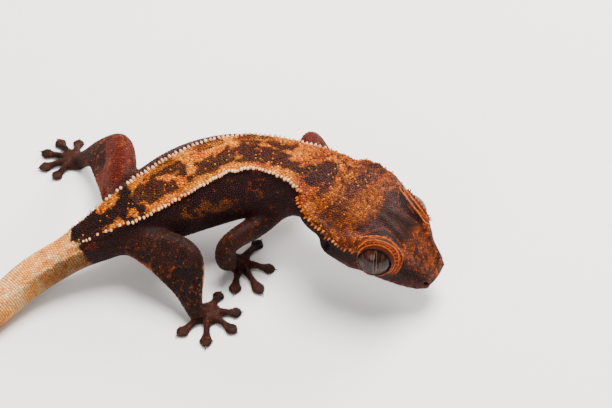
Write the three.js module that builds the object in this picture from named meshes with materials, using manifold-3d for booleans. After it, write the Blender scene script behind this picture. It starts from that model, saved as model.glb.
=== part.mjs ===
// A young crested gecko, life size, standing on a flat floor with its trunk arched and bent to its right
// and its head turned down. Millimetres, +Z up, the floor at z = 0, +X the way the head points.
// Every form is swept along a centre line: a few stations give its place and its half sizes, and a cubic
// curve runs between them. Touching pieces keep a gap, so that each is a body of its own.
import * as THREE from "three";
import { mergeVertices } from "three/addons/utils/BufferGeometryUtils.js";
import Module from "manifold-3d";

const wasm = await Module();
wasm.setup();

// Driving sizes
const GAP = 0.3;
const FLOOR_BOX = 100;
const HEAD_HEADING = -32.2;
const HEAD_PITCH = -24.1;
const SNOUT = [11.0, -6.4, 3.0];
const EYE = { behind: 5.3, side: 2.64, up: 0.84, radius: 1.64 };
const EYE_GAZE = { forward: 0.26, side: 0.88, up: 0.48 };
const LID = { mound: [2.4, 1.8, 2.25], inset: 0.33, opening: 1.5, rim: 1.76, tube: 0.3, out: 0.9 };
const MOUTH = { to: 7.4, depth: 0.42, slot: 0.3 };
// The mouth's line: millimetres behind the snout, height
const MOUTH_LINE = [
  [0, -0.4],
  [1.0, -0.72],
  [3.0, -1.15],
  [5.2, -1.55],
  [7.4, -1.4],
];
const NOSTRIL = { behind: 0.55, side: 1.2, up: 0.3, radius: 0.26 };
const EAR = { behind: 9.0, side: 4.3, up: -0.6, half: [0.34, 0.6, 0.55] };
const CREST = { from: 6.3, to: 41.0, pitch: 0.85, radius: 0.27, height: 0.62, sunk: 0.35 };
const LASH = { count: 7, radius: 0.24, height: 0.62, from: 25, to: 150 };

const radians = THREE.MathUtils.degToRad;
const vector = (p) => new THREE.Vector3(...p);
const heading = radians(HEAD_HEADING);
const pitch = radians(HEAD_PITCH);
const headForward = new THREE.Vector3(
  Math.cos(pitch) * Math.cos(heading),
  Math.cos(pitch) * Math.sin(heading),
  Math.sin(pitch),
);
const UP = new THREE.Vector3(0, 0, 1);

// A point on the head's straight axis, so many millimetres behind the tip of the snout
const onHeadAxis = (behind) => vector(SNOUT).addScaledVector(headForward, -behind);

// Stations of the head: millimetres behind the snout, half width, height above and below the axis,
// squareness above and below, the crest's angle round the section and how far it stands out
const HEAD_STATIONS = [
  [0.0, 0.5, 0.2, 0.42, 2.0, 2.0, 38, 0],
  [0.12, 1.08, 0.48, 0.8, 2.0, 2.0, 38, 0],
  [0.4, 1.52, 0.74, 1.12, 2.1, 2.2, 38, 0],
  [0.95, 1.92, 1.02, 1.45, 2.2, 2.5, 38, 0],
  [1.9, 2.36, 1.37, 1.78, 2.3, 2.8, 38, 0],
  [3.2, 2.86, 2.0, 1.97, 2.5, 2.9, 36, 0],
  [4.9, 3.3, 2.6, 2.3, 2.9, 2.8, 34, 0.1],
  [6.6, 3.8, 2.55, 2.35, 2.5, 2.7, 29, 0.3],
  [8.1, 4.1, 2.5, 2.35, 2.4, 2.5, 22, 0.45],
  [9.6, 3.95, 2.35, 2.3, 2.3, 2.4, 19, 0.55],
];
// Stations of the neck, trunk and tail: millimetres behind the snout, place, then as above, and the roll
const BODY_STATIONS = [
  [11.3, 2.45, -1.05, 6.95, 3.55, 2.3, 2.35, 2.3, 2.3, 25, 0.5, 0],
  [13.2, 1.1, 0.15, 7.0, 3.05, 2.35, 2.45, 2.3, 2.2, 41, 0.35, 2],
  [15.6, -1.05, 1.15, 6.75, 3.25, 2.6, 2.7, 2.3, 2.1, 55, 0.2, 6],
  [18.3, -3.7, 2.0, 6.3, 3.75, 2.95, 3.0, 2.3, 2.1, 61, 0.15, 8],
  [21.1, -6.5, 2.15, 5.95, 4.05, 3.1, 3.15, 2.3, 2.1, 62, 0.15, 5],
  [24.0, -9.2, 1.5, 5.65, 4.05, 3.0, 3.1, 2.3, 2.1, 62, 0.15, 0],
  [27.1, -11.9, 0.3, 5.2, 3.7, 2.75, 2.8, 2.3, 2.1, 61, 0.15, -3],
  [30.1, -14.5, -1.1, 4.7, 3.0, 2.45, 2.4, 2.2, 2.1, 59, 0.12, -4],
  [33.0, -17.0, -2.6, 4.1, 2.15, 2.05, 2.0, 2.2, 2.1, 62, 0.1, 0],
  [36.3, -19.8, -3.95, 3.3, 1.6, 1.65, 1.6, 2.1, 2.1, 68, 0.06, 0],
  [40.4, -23.3, -5.8, 2.15, 1.62, 1.5, 1.5, 2.0, 2.0, 72, 0, 0],
  [44.4, -26.3, -8.9, 1.5, 1.38, 1.35, 1.35, 2.0, 2.0, 72, 0, 0],
  [48.6, -28.7, -12.3, 1.12, 1.18, 1.15, 1.2, 2.0, 2.0, 72, 0, 0],
  [53.0, -30.0, -16.4, 0.92, 0.96, 0.93, 1.0, 2.0, 2.0, 72, 0, 0],
  [57.2, -29.4, -20.5, 0.72, 0.76, 0.73, 0.8, 2.0, 2.0, 72, 0, 0],
  [61.0, -26.9, -23.3, 0.5, 0.62, 0.5, 0.58, 2.0, 2.0, 72, 0, 0],
  [63.6, -24.5, -23.9, 0.36, 0.62, 0.34, 0.44, 2.0, 2.0, 72, 0, 0],
  [65.4, -22.8, -23.5, 0.3, 0.28, 0.24, 0.36, 2.0, 2.0, 72, 0, 0],
];
const STATIONS = [
  ...HEAD_STATIONS.map(([behind, ...sizes]) => [behind, ...onHeadAxis(behind).toArray(), ...sizes, 0]),
  ...BODY_STATIONS,
];

// Where the body is parted, in millimetres behind the snout
const BODY_PARTS = [
  ["head", 0, 11.0],
  ["neck", 11.0, 14.4],
  ["torso_front", 14.4, 20.2],
  ["torso_middle", 20.2, 26.2],
  ["torso_rear", 26.2, 34.2],
  ["tail_base", 34.2, 42.6],
  ["tail_middle", 42.6, 52.0],
  ["tail_end", 52.0, 58.8],
  ["tail_tip", 58.8, 65.4],
];

// Legs: millimetres along, place, half width across the bend's plane and in it. Each runs from inside
// the body over the elbow or knee to the wrist or ankle and into the sole, and cuts says where it parts.
const LEGS = {
  hind_leg_right: {
    rows: [
      [0, -16.0, -2.3, 4.3, 1.1, 1.3],
      [3.2, -13.3, -4.1, 4.5, 1.3, 1.6],
      [6.4, -10.6, -5.1, 4.7, 1.0, 1.5],
      [8.0, -9.75, -5.9, 4.3, 0.95, 1.35],
      [10.4, -9.7, -7.3, 2.6, 0.85, 1.15],
      [12.6, -9.35, -8.4, 1.15, 0.65, 0.75],
      [13.9, -8.9, -8.5, 0.55, 0.5, 0.75],
    ],
    cuts: [7.2, 12.1],
  },
  hind_leg_left: {
    rows: [
      [0, -15.5, -1.0, 4.5, 1.1, 1.4],
      [3.2, -16.0, 1.9, 5.1, 1.3, 1.85],
      [6.2, -16.1, 4.7, 5.75, 1.1, 1.7],
      [7.8, -16.6, 5.9, 5.4, 0.95, 1.45],
      [10.4, -18.2, 7.2, 3.6, 0.85, 1.15],
      [13.6, -20.0, 8.5, 1.2, 0.62, 0.75],
      [14.9, -20.6, 8.9, 0.55, 0.5, 0.75],
    ],
    cuts: [7.0, 12.9],
  },
  fore_leg_right: {
    rows: [
      [0, -1.9, -0.2, 5.2, 0.9, 1.0],
      [2.6, -4.0, -2.0, 4.7, 0.95, 1.05],
      [4.9, -6.1, -3.6, 4.55, 0.85, 0.95],
      [6.1, -6.75, -4.05, 3.9, 0.8, 0.95],
      [8.0, -6.75, -4.0, 2.3, 0.72, 0.9],
      [9.6, -6.45, -3.5, 1.1, 0.5, 0.58],
      [10.6, -6.1, -3.05, 0.55, 0.42, 0.55],
    ],
    cuts: [5.5, 9.2],
  },
  fore_leg_left: {
    rows: [
      [0, 0.3, 1.9, 5.6, 0.9, 1.0],
      [2.4, 0.2, 4.1, 5.7, 0.95, 1.05],
      [4.6, 0.35, 6.1, 5.9, 0.85, 0.98],
      [5.7, 0.75, 6.7, 5.3, 0.8, 0.95],
      [8.0, 1.8, 6.6, 3.2, 0.72, 0.9],
      [10.2, 2.7, 6.3, 1.2, 0.5, 0.58],
      [11.2, 3.2, 6.3, 0.55, 0.42, 0.55],
    ],
    cuts: [5.1, 9.7],
  },
};

// Feet: the middle of the sole, half sizes of the sole, and each toe's direction in degrees and length
const FEET = {
  hind_leg_right: {
    name: "foot_hind_right",
    at: [-8.3, -8.1],
    sole: [1.25, 1.15],
    toes: [[-138, 3.5], [-91, 3.6], [-38, 3.3], [3, 3.0], [66, 2.6]],
  },
  hind_leg_left: {
    name: "foot_hind_left",
    at: [-21.1, 9.2],
    sole: [1.25, 1.1],
    toes: [[232, 2.9], [197, 3.4], [162, 3.4], [125, 3.2], [84, 2.6]],
  },
  fore_leg_right: {
    name: "foot_fore_right",
    at: [-5.75, -2.75],
    sole: [1.0, 0.95],
    toes: [[128, 2.3], [55, 3.3], [-12, 3.3], [-58, 4.0], [-97, 3.4]],
  },
  fore_leg_left: {
    name: "foot_fore_left",
    at: [3.6, 6.35],
    sole: [1.0, 0.95],
    toes: [[-62, 2.6], [-18, 3.2], [24, 3.4], [66, 3.2], [112, 2.6]],
  },
};
const SOLE_HEIGHT = 0.62;
// A toe: share of its length, half width, half height, height of its middle
const TOE = [
  [0, 0.38, 0.4, 0.34],
  [0.22, 0.34, 0.4, 0.4],
  [0.45, 0.29, 0.34, 0.36],
  [0.6, 0.42, 0.28, 0.24],
  [0.74, 0.62, 0.27, 0.22],
  [0.86, 0.46, 0.27, 0.22],
  [0.95, 0.17, 0.24, 0.22],
  [1.0, 0.07, 0.1, 0.16],
];

// Skin colours
const SKIN = new THREE.MeshStandardMaterial({ color: 0x5a2f1c, roughness: 0.62, metalness: 0 });
const EYE_GLOSS = new THREE.MeshStandardMaterial({ color: 0x4a3833, roughness: 0.12, metalness: 0 });

// The rows' values at t, by a cubic that passes through each row
function valuesAt(rows, t) {
  let i = 0;
  while (i < rows.length - 2 && t > rows[i + 1][0]) i += 1;
  const slope = (k, c) => {
    const a = rows[Math.max(k - 1, 0)];
    const b = rows[Math.min(k + 1, rows.length - 1)];
    return (b[c] - a[c]) / (b[0] - a[0]);
  };
  const span = rows[i + 1][0] - rows[i][0];
  const s = (t - rows[i][0]) / span;
  return rows[i].slice(1).map((value, j) => {
    const c = j + 1;
    return (
      (2 * s ** 3 - 3 * s ** 2 + 1) * value +
      (s ** 3 - 2 * s ** 2 + s) * span * slope(i, c) +
      (3 * s ** 2 - 2 * s ** 3) * rows[i + 1][c] +
      (s ** 3 - s ** 2) * span * slope(i + 1, c)
    );
  });
}

// Place, direction and the side and up directions of a row curve at t. reference is roughly up.
function frameAt(rows, t, reference, roll = 0) {
  const STEP = 0.05;
  const place = (s) => vector(valuesAt(rows, THREE.MathUtils.clamp(s, rows[0][0], rows.at(-1)[0])).slice(0, 3));
  const along = place(t + STEP).sub(place(t - STEP)).normalize();
  const side = along.clone().cross(reference).normalize();
  const up = side.clone().cross(along);
  side.applyAxisAngle(along, radians(roll));
  up.applyAxisAngle(along, radians(roll));
  return { at: place(t), along, side, up };
}

const power = (value, n) => Math.sign(value) * Math.abs(value) ** (2 / n);

// A point on the body's section at t. angle is 0 at the animal's left, 90 at its back.
function bodyPoint(t, angle, grow = 0) {
  const [, , , width, top, bottom, squareTop, squareBottom, crestAngle, crest, roll] = valuesAt(STATIONS, t);
  const { at, side, up } = frameAt(STATIONS, t, UP, roll);
  const c = Math.cos(radians(angle));
  const s = Math.sin(radians(angle));
  const square = s > 0 ? squareTop : squareBottom;
  const height = s > 0 ? top : bottom;
  const away = Math.min(Math.abs(angle - crestAngle), Math.abs(180 - angle - crestAngle));
  const stand = crest * Math.exp(-((away / 14) ** 2));
  return at
    .addScaledVector(side, power(c, square) * (width + grow) + Math.sign(c) * stand * 0.85)
    .addScaledVector(up, power(s, square) * (height + grow) + stand * 0.5);
}

// The angles of a section's corners, with one on each crest
function bodyAngles(t, acrossTop, downEachSide) {
  const crestAngle = valuesAt(STATIONS, t)[8];
  const angles = [];
  for (let i = 0; i < acrossTop; i += 1) angles.push(crestAngle + ((180 - 2 * crestAngle) * i) / acrossTop);
  const under = 180 + 2 * crestAngle;
  for (let i = 0; i < 2 * downEachSide; i += 1) angles.push(180 - crestAngle + (under * i) / (2 * downEachSide));
  return angles;
}

// A closed solid from a list of rings, each a list of as many points
function solidFromRings(rings) {
  const count = rings[0].length;
  const positions = rings.flat().flatMap((p) => p.toArray());
  const middle = (ring) => ring.reduce((sum, p) => sum.add(p), new THREE.Vector3()).divideScalar(count);
  positions.push(...middle(rings[0]).toArray(), ...middle(rings.at(-1)).toArray());
  const first = rings.length * count;
  const index = [];
  for (let i = 0; i < rings.length - 1; i += 1) {
    for (let j = 0; j < count; j += 1) {
      const a = i * count + j;
      const b = i * count + ((j + 1) % count);
      index.push(a, b, b + count, a, b + count, a + count);
    }
  }
  const last = (rings.length - 1) * count;
  for (let j = 0; j < count; j += 1) {
    const next = (j + 1) % count;
    index.push(first, next, j);
    index.push(first + 1, last + j, last + next);
  }
  const geometry = new THREE.BufferGeometry();
  geometry.setAttribute("position", new THREE.Float32BufferAttribute(positions, 3));
  geometry.setIndex(index);
  return manifoldOf(geometry);
}

// A manifold-3d solid from a closed three.js geometry, turned outwards if it faces in
function manifoldOf(geometry, matrix = new THREE.Matrix4()) {
  const bare = geometry.clone().applyMatrix4(matrix);
  bare.deleteAttribute("normal");
  bare.deleteAttribute("uv");
  const merged = mergeVertices(bare, 1e-4);
  const build = (triVerts) =>
    new wasm.Manifold(new wasm.Mesh({ numProp: 3, vertProperties: merged.attributes.position.array, triVerts }));
  const triangles = new Uint32Array(merged.index.array);
  const solid = build(triangles);
  return solid.volume() > 0 ? solid : build(triangles.reverse());
}

// The body between two stations, with flat ends. crowd above 1 sets the rings closer at the start.
function bodySolid(from, to, step, acrossTop, downEachSide, grow = 0, crowd = 1) {
  const rings = [];
  const count = Math.max(2, Math.round((to - from) / step));
  for (let i = 0; i <= count; i += 1) {
    const t = from + (to - from) * (i / count) ** crowd;
    rings.push(bodyAngles(t, acrossTop, downEachSide).map((angle) => bodyPoint(t, angle, grow)));
  }
  return solidFromRings(rings);
}

// A swept leg or toe between two values of t, with oval sections
function tubeSolid(rows, from, to, steps, sides, reference, grow = 0) {
  const rings = [];
  for (let i = 0; i <= steps; i += 1) {
    const t = from + ((to - from) * i) / steps;
    const [, , , across, within] = valuesAt(rows, t);
    const { at, side, up } = frameAt(rows, t, reference);
    const ring = [];
    for (let j = 0; j < sides; j += 1) {
      const angle = (2 * Math.PI * j) / sides;
      ring.push(
        at
          .clone()
          .addScaledVector(side, Math.cos(angle) * (within + grow))
          .addScaledVector(up, Math.sin(angle) * (across + grow)),
      );
    }
    rings.push(ring);
  }
  return solidFromRings(rings);
}

// A cone that stands out of a surface, its root sunk in it
function spine(at, direction, radius, height, sunk) {
  const SIDES = 5;
  const cone = new THREE.ConeGeometry(radius, height + sunk, SIDES);
  cone.translate(0, (height - sunk) / 2, 0);
  const turn = new THREE.Quaternion().setFromUnitVectors(new THREE.Vector3(0, 1, 0), direction);
  return manifoldOf(cone, new THREE.Matrix4().compose(at, turn, new THREE.Vector3(1, 1, 1)));
}

// An oval solid with its half sizes along three directions
function oval(at, axes, halves, across = 14, down = 10) {
  const matrix = new THREE.Matrix4().makeBasis(...axes.map((axis, i) => axis.clone().multiplyScalar(halves[i])));
  matrix.setPosition(at);
  return manifoldOf(new THREE.SphereGeometry(1, across, down), matrix);
}

const joined = (solids) => wasm.Manifold.union(solids);

function largest(solid) {
  const pieces = solid.decompose();
  return pieces.reduce((best, piece) => (piece.volume() > best.volume() ? piece : best));
}

const belowFloor = manifoldOf(
  new THREE.BoxGeometry(2 * FLOOR_BOX, 2 * FLOOR_BOX, FLOOR_BOX).translate(0, 0, -FLOOR_BOX / 2),
);

// Crest spines between two stations, on both sides. They are taller on the head and small by the tail.
function crestSpines(from, to) {
  const spines = [];
  for (let t = CREST.from; t < CREST.to; t += CREST.pitch) {
    if (t < from + CREST.radius + 0.1 || t > to - CREST.radius - 0.1) continue;
    const crestAngle = valuesAt(STATIONS, t)[8];
    const fade = THREE.MathUtils.clamp((CREST.to - t) / 8, 0.45, 1);
    const height = CREST.height * fade * (t < 13 ? 1.15 : 0.85);
    [crestAngle, 180 - crestAngle].forEach((angle) => {
      const { at: middle } = frameAt(STATIONS, t, UP);
      const root = bodyPoint(t, angle);
      const out = root.clone().sub(middle).normalize();
      const lean = headForward.clone().multiplyScalar(t < 12 ? -0.25 : 0);
      spines.push(spine(root, out.add(lean).normalize(), CREST.radius * (0.6 + 0.4 * fade), height, CREST.sunk));
    });
  }
  return spines;
}

// The head's own directions, and points in them: millimetres behind the snout, to the left and up
const headFrame = frameAt(STATIONS, 4, UP);
const inHead = (behind, left, up) =>
  onHeadAxis(behind).addScaledVector(headFrame.side, left).addScaledVector(headFrame.up, up);
const SIDES = { left: 1, right: -1 };

function eyePlace(hand) {
  return inHead(EYE.behind, hand * EYE.side, EYE.up);
}
function gazeDirection(hand) {
  return headForward
    .clone()
    .multiplyScalar(EYE_GAZE.forward)
    .addScaledVector(headFrame.side, hand * EYE_GAZE.side)
    .addScaledVector(headFrame.up, EYE_GAZE.up)
    .normalize();
}

// The flesh that bulges round an eye
function eyeMound(hand) {
  const middle = eyePlace(hand).addScaledVector(gazeDirection(hand), -LID.inset);
  return oval(middle, [headForward, headFrame.side, headFrame.up], LID.mound, 18, 14);
}

// The socket an eye sits in, and the opening its lids leave
function eyeSocket(hand) {
  const REACH = 4;
  const socket = new THREE.SphereGeometry(EYE.radius + GAP, 18, 12).translate(...eyePlace(hand).toArray());
  const turn = new THREE.Quaternion().setFromUnitVectors(new THREE.Vector3(0, 1, 0), gazeDirection(hand));
  const opening = new THREE.CylinderGeometry(LID.opening, LID.opening, REACH, 18).translate(0, REACH / 2, 0);
  const matrix = new THREE.Matrix4().compose(eyePlace(hand), turn, new THREE.Vector3(1, 1, 1));
  return joined([manifoldOf(socket), manifoldOf(opening, matrix)]);
}

// The lids' rim round that opening, with its row of lash spines along the top
function lidRim(hand) {
  const gaze = gazeDirection(hand);
  const middle = eyePlace(hand).addScaledVector(gaze, LID.out);
  const up = headFrame.up.clone().addScaledVector(gaze, -headFrame.up.dot(gaze)).normalize();
  const fore = headForward.clone().addScaledVector(gaze, -headForward.dot(gaze)).normalize();
  const matrix = new THREE.Matrix4().makeBasis(fore, up, gaze).setPosition(middle);
  const lashes = [];
  for (let i = 0; i < LASH.count; i += 1) {
    const angle = radians(THREE.MathUtils.lerp(LASH.from, LASH.to, i / (LASH.count - 1)));
    const out = fore.clone().multiplyScalar(Math.cos(angle)).addScaledVector(up, Math.sin(angle));
    const root = middle.clone().addScaledVector(out, LID.rim + 0.15);
    lashes.push(spine(root, out.addScaledVector(gaze, 0.6).normalize(), LASH.radius, LASH.height, 0.3));
  }
  return [manifoldOf(new THREE.TorusGeometry(LID.rim, LID.tube, 6, 18), matrix), ...lashes];
}

// How far the head's section reaches sideways at a height on its axis
function sideReach(behind, height) {
  const [, , , width, top, bottom, squareTop, squareBottom] = valuesAt(STATIONS, behind);
  const [half, square] = height > 0 ? [top, squareTop] : [bottom, squareBottom];
  return width * Math.max(0, 1 - Math.abs(height / half) ** square) ** (1 / square);
}

// The line of the mouth: a slot that runs along one jaw, round the snout and back along the other
function mouthSlot() {
  const STEPS = 13;
  const line = (i) => {
    const behind = 0.1 + (MOUTH.to - 0.1) * (Math.abs(i) / STEPS) ** 1.7;
    const [height] = valuesAt(MOUTH_LINE, behind);
    return inHead(i === 0 ? 0.02 : behind, Math.sign(i) * sideReach(behind, height), height);
  };
  const rings = [];
  for (let i = -STEPS; i <= STEPS; i += 1) {
    const place = line(i);
    const out = line(i + 1).sub(line(i - 1)).cross(headFrame.up).normalize();
    const corner = (reach, lift) => place.clone().addScaledVector(out, reach).addScaledVector(headFrame.up, lift);
    const half = MOUTH.slot / 2;
    rings.push([corner(0.5, half), corner(0.5, -half), corner(-MOUTH.depth, -half), corner(-MOUTH.depth, half)]);
  }
  return solidFromRings(rings);
}

function headSolid(from, to) {
  const skull = bodySolid(from, to - GAP / 2, 0.55, 8, 8, 0, 1.35);
  const added = [skull, ...crestSpines(from, to)];
  const taken = [mouthSlot()];
  Object.values(SIDES).forEach((hand) => {
    added.push(eyeMound(hand), ...lidRim(hand));
    taken.push(eyeSocket(hand));
    const axes = [headForward, headFrame.side, headFrame.up];
    const nostril = inHead(NOSTRIL.behind, hand * NOSTRIL.side, NOSTRIL.up);
    taken.push(oval(nostril, axes, [NOSTRIL.radius, NOSTRIL.radius * 1.5, NOSTRIL.radius], 8, 6));
    taken.push(oval(inHead(EAR.behind, hand * EAR.side, EAR.up), axes, EAR.half, 10, 8));
  });
  return largest(joined(added).subtract(joined(taken)));
}

const nodes = [];
const addNode = (name, solid, material = SKIN) => nodes.push([name, solid, material]);

BODY_PARTS.forEach(([name, from, to]) => {
  if (name === "head") {
    addNode(name, headSolid(from, to));
    return;
  }
  const start = from + GAP / 2;
  const end = name === "tail_tip" ? to : to - GAP / 2;
  const slim = name.startsWith("tail");
  const trunk = slim ? bodySolid(start, end, 1.1, 4, 5) : bodySolid(start, end, 0.95, 8, 7);
  addNode(name, largest(joined([trunk, ...crestSpines(start, end)]).subtract(belowFloor)));
});

Object.entries(SIDES).forEach(([word, hand]) => {
  const ball = new THREE.SphereGeometry(EYE.radius, 18, 12).translate(...eyePlace(hand).toArray());
  addNode(`eye_${word}`, manifoldOf(ball), EYE_GLOSS);
});

// The trunk with its crest left off, a gap larger, which the legs are cut back by
const trunkKeepOut = bodySolid(9, 40, 0.8, 8, 7, GAP);

const SEGMENTS = { hind: ["thigh", "shank"], fore: ["upper_arm", "forearm"] };
Object.entries(LEGS).forEach(([leg, { rows, cuts }]) => {
  const [kind, , hand] = leg.split("_");
  const knee = vector(rows[3].slice(1, 4));
  const bend = knee.clone().sub(vector(rows[0].slice(1, 4))).cross(vector(rows[5].slice(1, 4)).sub(knee)).normalize();
  const last = rows.at(-1)[0];
  const spans = [[0, cuts[0] - GAP / 2], [cuts[0] + GAP / 2, cuts[1] - GAP / 2]];
  spans.forEach(([from, to], i) => {
    const segment = tubeSolid(rows, from, to, 7, 10, bend).subtract(trunkKeepOut).subtract(belowFloor);
    addNode(`${SEGMENTS[kind][i]}_${hand}`, largest(segment));
  });
  const foot = FEET[leg];
  const wrist = tubeSolid(rows, cuts[1] + GAP / 2, last, 4, 10, bend);
  const sole = oval(
    new THREE.Vector3(...foot.at, 0.2),
    [new THREE.Vector3(1, 0, 0), new THREE.Vector3(0, 1, 0), UP],
    [...foot.sole, SOLE_HEIGHT],
    14,
    8,
  );
  const toes = foot.toes.map(([degrees, length]) => {
    const way = new THREE.Vector3(Math.cos(radians(degrees)), Math.sin(radians(degrees)), 0);
    const toeRows = TOE.map(([share, wide, high, lift]) => {
      const at = new THREE.Vector3(...foot.at, lift).addScaledVector(way, 0.5 + share * (length - 0.5));
      return [share, ...at.toArray(), high, wide];
    });
    return tubeSolid(toeRows, 0, 1, 8, 7, UP);
  });
  addNode(foot.name, largest(joined([wrist, sole, ...toes]).subtract(trunkKeepOut).subtract(belowFloor)));
});

// Every node as a mesh, the whole moved so that the middle of its box stands over the origin
const group = new THREE.Group();
nodes.forEach(([name, solid, material]) => {
  const { numProp, vertProperties, triVerts } = solid.getMesh();
  const positions = new Float32Array((vertProperties.length / numProp) * 3);
  for (let i = 0; i < positions.length / 3; i += 1) {
    positions.set(vertProperties.subarray(i * numProp, i * numProp + 3), i * 3);
  }
  const geometry = new THREE.BufferGeometry();
  geometry.setAttribute("position", new THREE.BufferAttribute(positions, 3));
  geometry.setIndex(new THREE.BufferAttribute(triVerts, 1));
  geometry.computeVertexNormals();
  const mesh = new THREE.Mesh(geometry, material);
  mesh.name = name;
  group.add(mesh);
});
const box = new THREE.Box3().setFromObject(group);
const middle = box.getCenter(new THREE.Vector3());
group.position.set(-middle.x, -middle.y, 0);

export default group;
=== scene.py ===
import math

import bpy
import numpy as np
import openvdb as vdb
from mathutils import Matrix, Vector
from mathutils.kdtree import KDTree


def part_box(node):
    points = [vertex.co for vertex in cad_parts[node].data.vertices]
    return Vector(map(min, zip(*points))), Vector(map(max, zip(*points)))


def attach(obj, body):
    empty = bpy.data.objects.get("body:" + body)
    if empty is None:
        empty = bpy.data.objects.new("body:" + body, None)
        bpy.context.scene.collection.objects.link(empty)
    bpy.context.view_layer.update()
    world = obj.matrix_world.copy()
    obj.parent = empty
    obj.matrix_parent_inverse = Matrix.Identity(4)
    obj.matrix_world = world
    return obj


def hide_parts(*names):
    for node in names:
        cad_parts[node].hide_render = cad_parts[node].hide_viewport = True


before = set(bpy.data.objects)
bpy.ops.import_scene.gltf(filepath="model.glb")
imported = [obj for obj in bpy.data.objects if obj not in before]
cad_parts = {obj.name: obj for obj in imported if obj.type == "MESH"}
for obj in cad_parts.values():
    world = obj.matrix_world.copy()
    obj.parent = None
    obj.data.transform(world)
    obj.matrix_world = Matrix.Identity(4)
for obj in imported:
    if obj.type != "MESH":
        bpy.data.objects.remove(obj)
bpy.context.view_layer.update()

# A young crested gecko. Sizes are in millimetres in the part's own drawing frame until they become
# Blender objects: +X to the viewer's right, +Y away from the viewer, +Z up, the floor at z = 0.
MM = 0.001
rng = np.random.default_rng(11)

# The sizes that the part's source names. The lids are finer here, and only the skin has their folds
HEAD_HEADING, HEAD_PITCH = math.radians(-32.2), math.radians(-24.1)
SNOUT = np.array([11.0, -6.4, 3.0])
EYE = dict(behind=5.3, side=2.64, up=0.84, radius=1.64)
EYE_GAZE = (0.26, 0.88, 0.48)
LID = dict(mound=(2.15, 1.55, 2.2), inset=0.33, opening=1.38, rim=1.47, tube=0.14, out=0.86)
MOUTH_LINE = [(0, -0.4), (1.0, -0.72), (3.0, -1.15), (5.2, -1.55), (7.4, -1.4)]
FOLDS = (1.6, 1.82, 2.04)
NOSTRIL = dict(behind=0.55, side=1.2, up=0.3)
EAR = dict(behind=9.0, side=4.3, up=-0.6)
CREST_FROM, CREST_TO = 6.3, 41.0
TAIL_END = 65.4
# Millimetres behind the snout, half width, height above and below, squareness above and below,
# the crest's angle round the section and how far it stands out
HEAD_STATIONS = [
    [0.0, 0.5, 0.2, 0.42, 2.0, 2.0, 38, 0],
    [0.12, 1.08, 0.48, 0.8, 2.0, 2.0, 38, 0],
    [0.4, 1.52, 0.74, 1.12, 2.1, 2.2, 38, 0],
    [0.95, 1.92, 1.02, 1.45, 2.2, 2.5, 38, 0],
    [1.9, 2.36, 1.37, 1.78, 2.3, 2.8, 38, 0],
    [3.2, 2.86, 2.0, 1.97, 2.5, 2.9, 36, 0],
    [4.9, 3.3, 2.6, 2.3, 2.9, 2.8, 34, 0.1],
    [6.6, 3.8, 2.55, 2.35, 2.5, 2.7, 29, 0.3],
    [8.1, 4.1, 2.5, 2.35, 2.4, 2.5, 22, 0.45],
    [9.6, 3.95, 2.35, 2.3, 2.3, 2.4, 19, 0.55],
]
# Millimetres behind the snout, place, then as above, and the roll
BODY_STATIONS = [
    [11.3, 2.45, -1.05, 6.95, 3.55, 2.3, 2.35, 2.3, 2.3, 25, 0.5, 0],
    [13.2, 1.1, 0.15, 7.0, 3.05, 2.35, 2.45, 2.3, 2.2, 41, 0.35, 2],
    [15.6, -1.05, 1.15, 6.75, 3.25, 2.6, 2.7, 2.3, 2.1, 55, 0.2, 6],
    [18.3, -3.7, 2.0, 6.3, 3.75, 2.95, 3.0, 2.3, 2.1, 61, 0.15, 8],
    [21.1, -6.5, 2.15, 5.95, 4.05, 3.1, 3.15, 2.3, 2.1, 62, 0.15, 5],
    [24.0, -9.2, 1.5, 5.65, 4.05, 3.0, 3.1, 2.3, 2.1, 62, 0.15, 0],
    [27.1, -11.9, 0.3, 5.2, 3.7, 2.75, 2.8, 2.3, 2.1, 61, 0.15, -3],
    [30.1, -14.5, -1.1, 4.7, 3.0, 2.45, 2.4, 2.2, 2.1, 59, 0.12, -4],
    [33.0, -17.0, -2.6, 4.1, 2.15, 2.05, 2.0, 2.2, 2.1, 62, 0.1, 0],
    [36.3, -19.8, -3.95, 3.3, 1.6, 1.65, 1.6, 2.1, 2.1, 68, 0.06, 0],
]
# The tail's sections are ovals: millimetres behind the snout, place, half width, height above and below
TAIL_STATIONS = [
    [40.4, -23.3, -5.8, 2.15, 1.62, 1.5, 1.5],
    [44.4, -26.3, -8.9, 1.5, 1.38, 1.35, 1.35],
    [48.6, -28.7, -12.3, 1.12, 1.18, 1.15, 1.2],
    [53.0, -30.0, -16.4, 0.92, 0.96, 0.93, 1.0],
    [57.2, -29.4, -20.5, 0.72, 0.76, 0.73, 0.8],
    [61.0, -26.9, -23.3, 0.5, 0.62, 0.5, 0.58],
    [63.6, -24.5, -23.9, 0.36, 0.62, 0.34, 0.44],
    [65.4, -22.8, -23.5, 0.3, 0.28, 0.24, 0.36],
]
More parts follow.
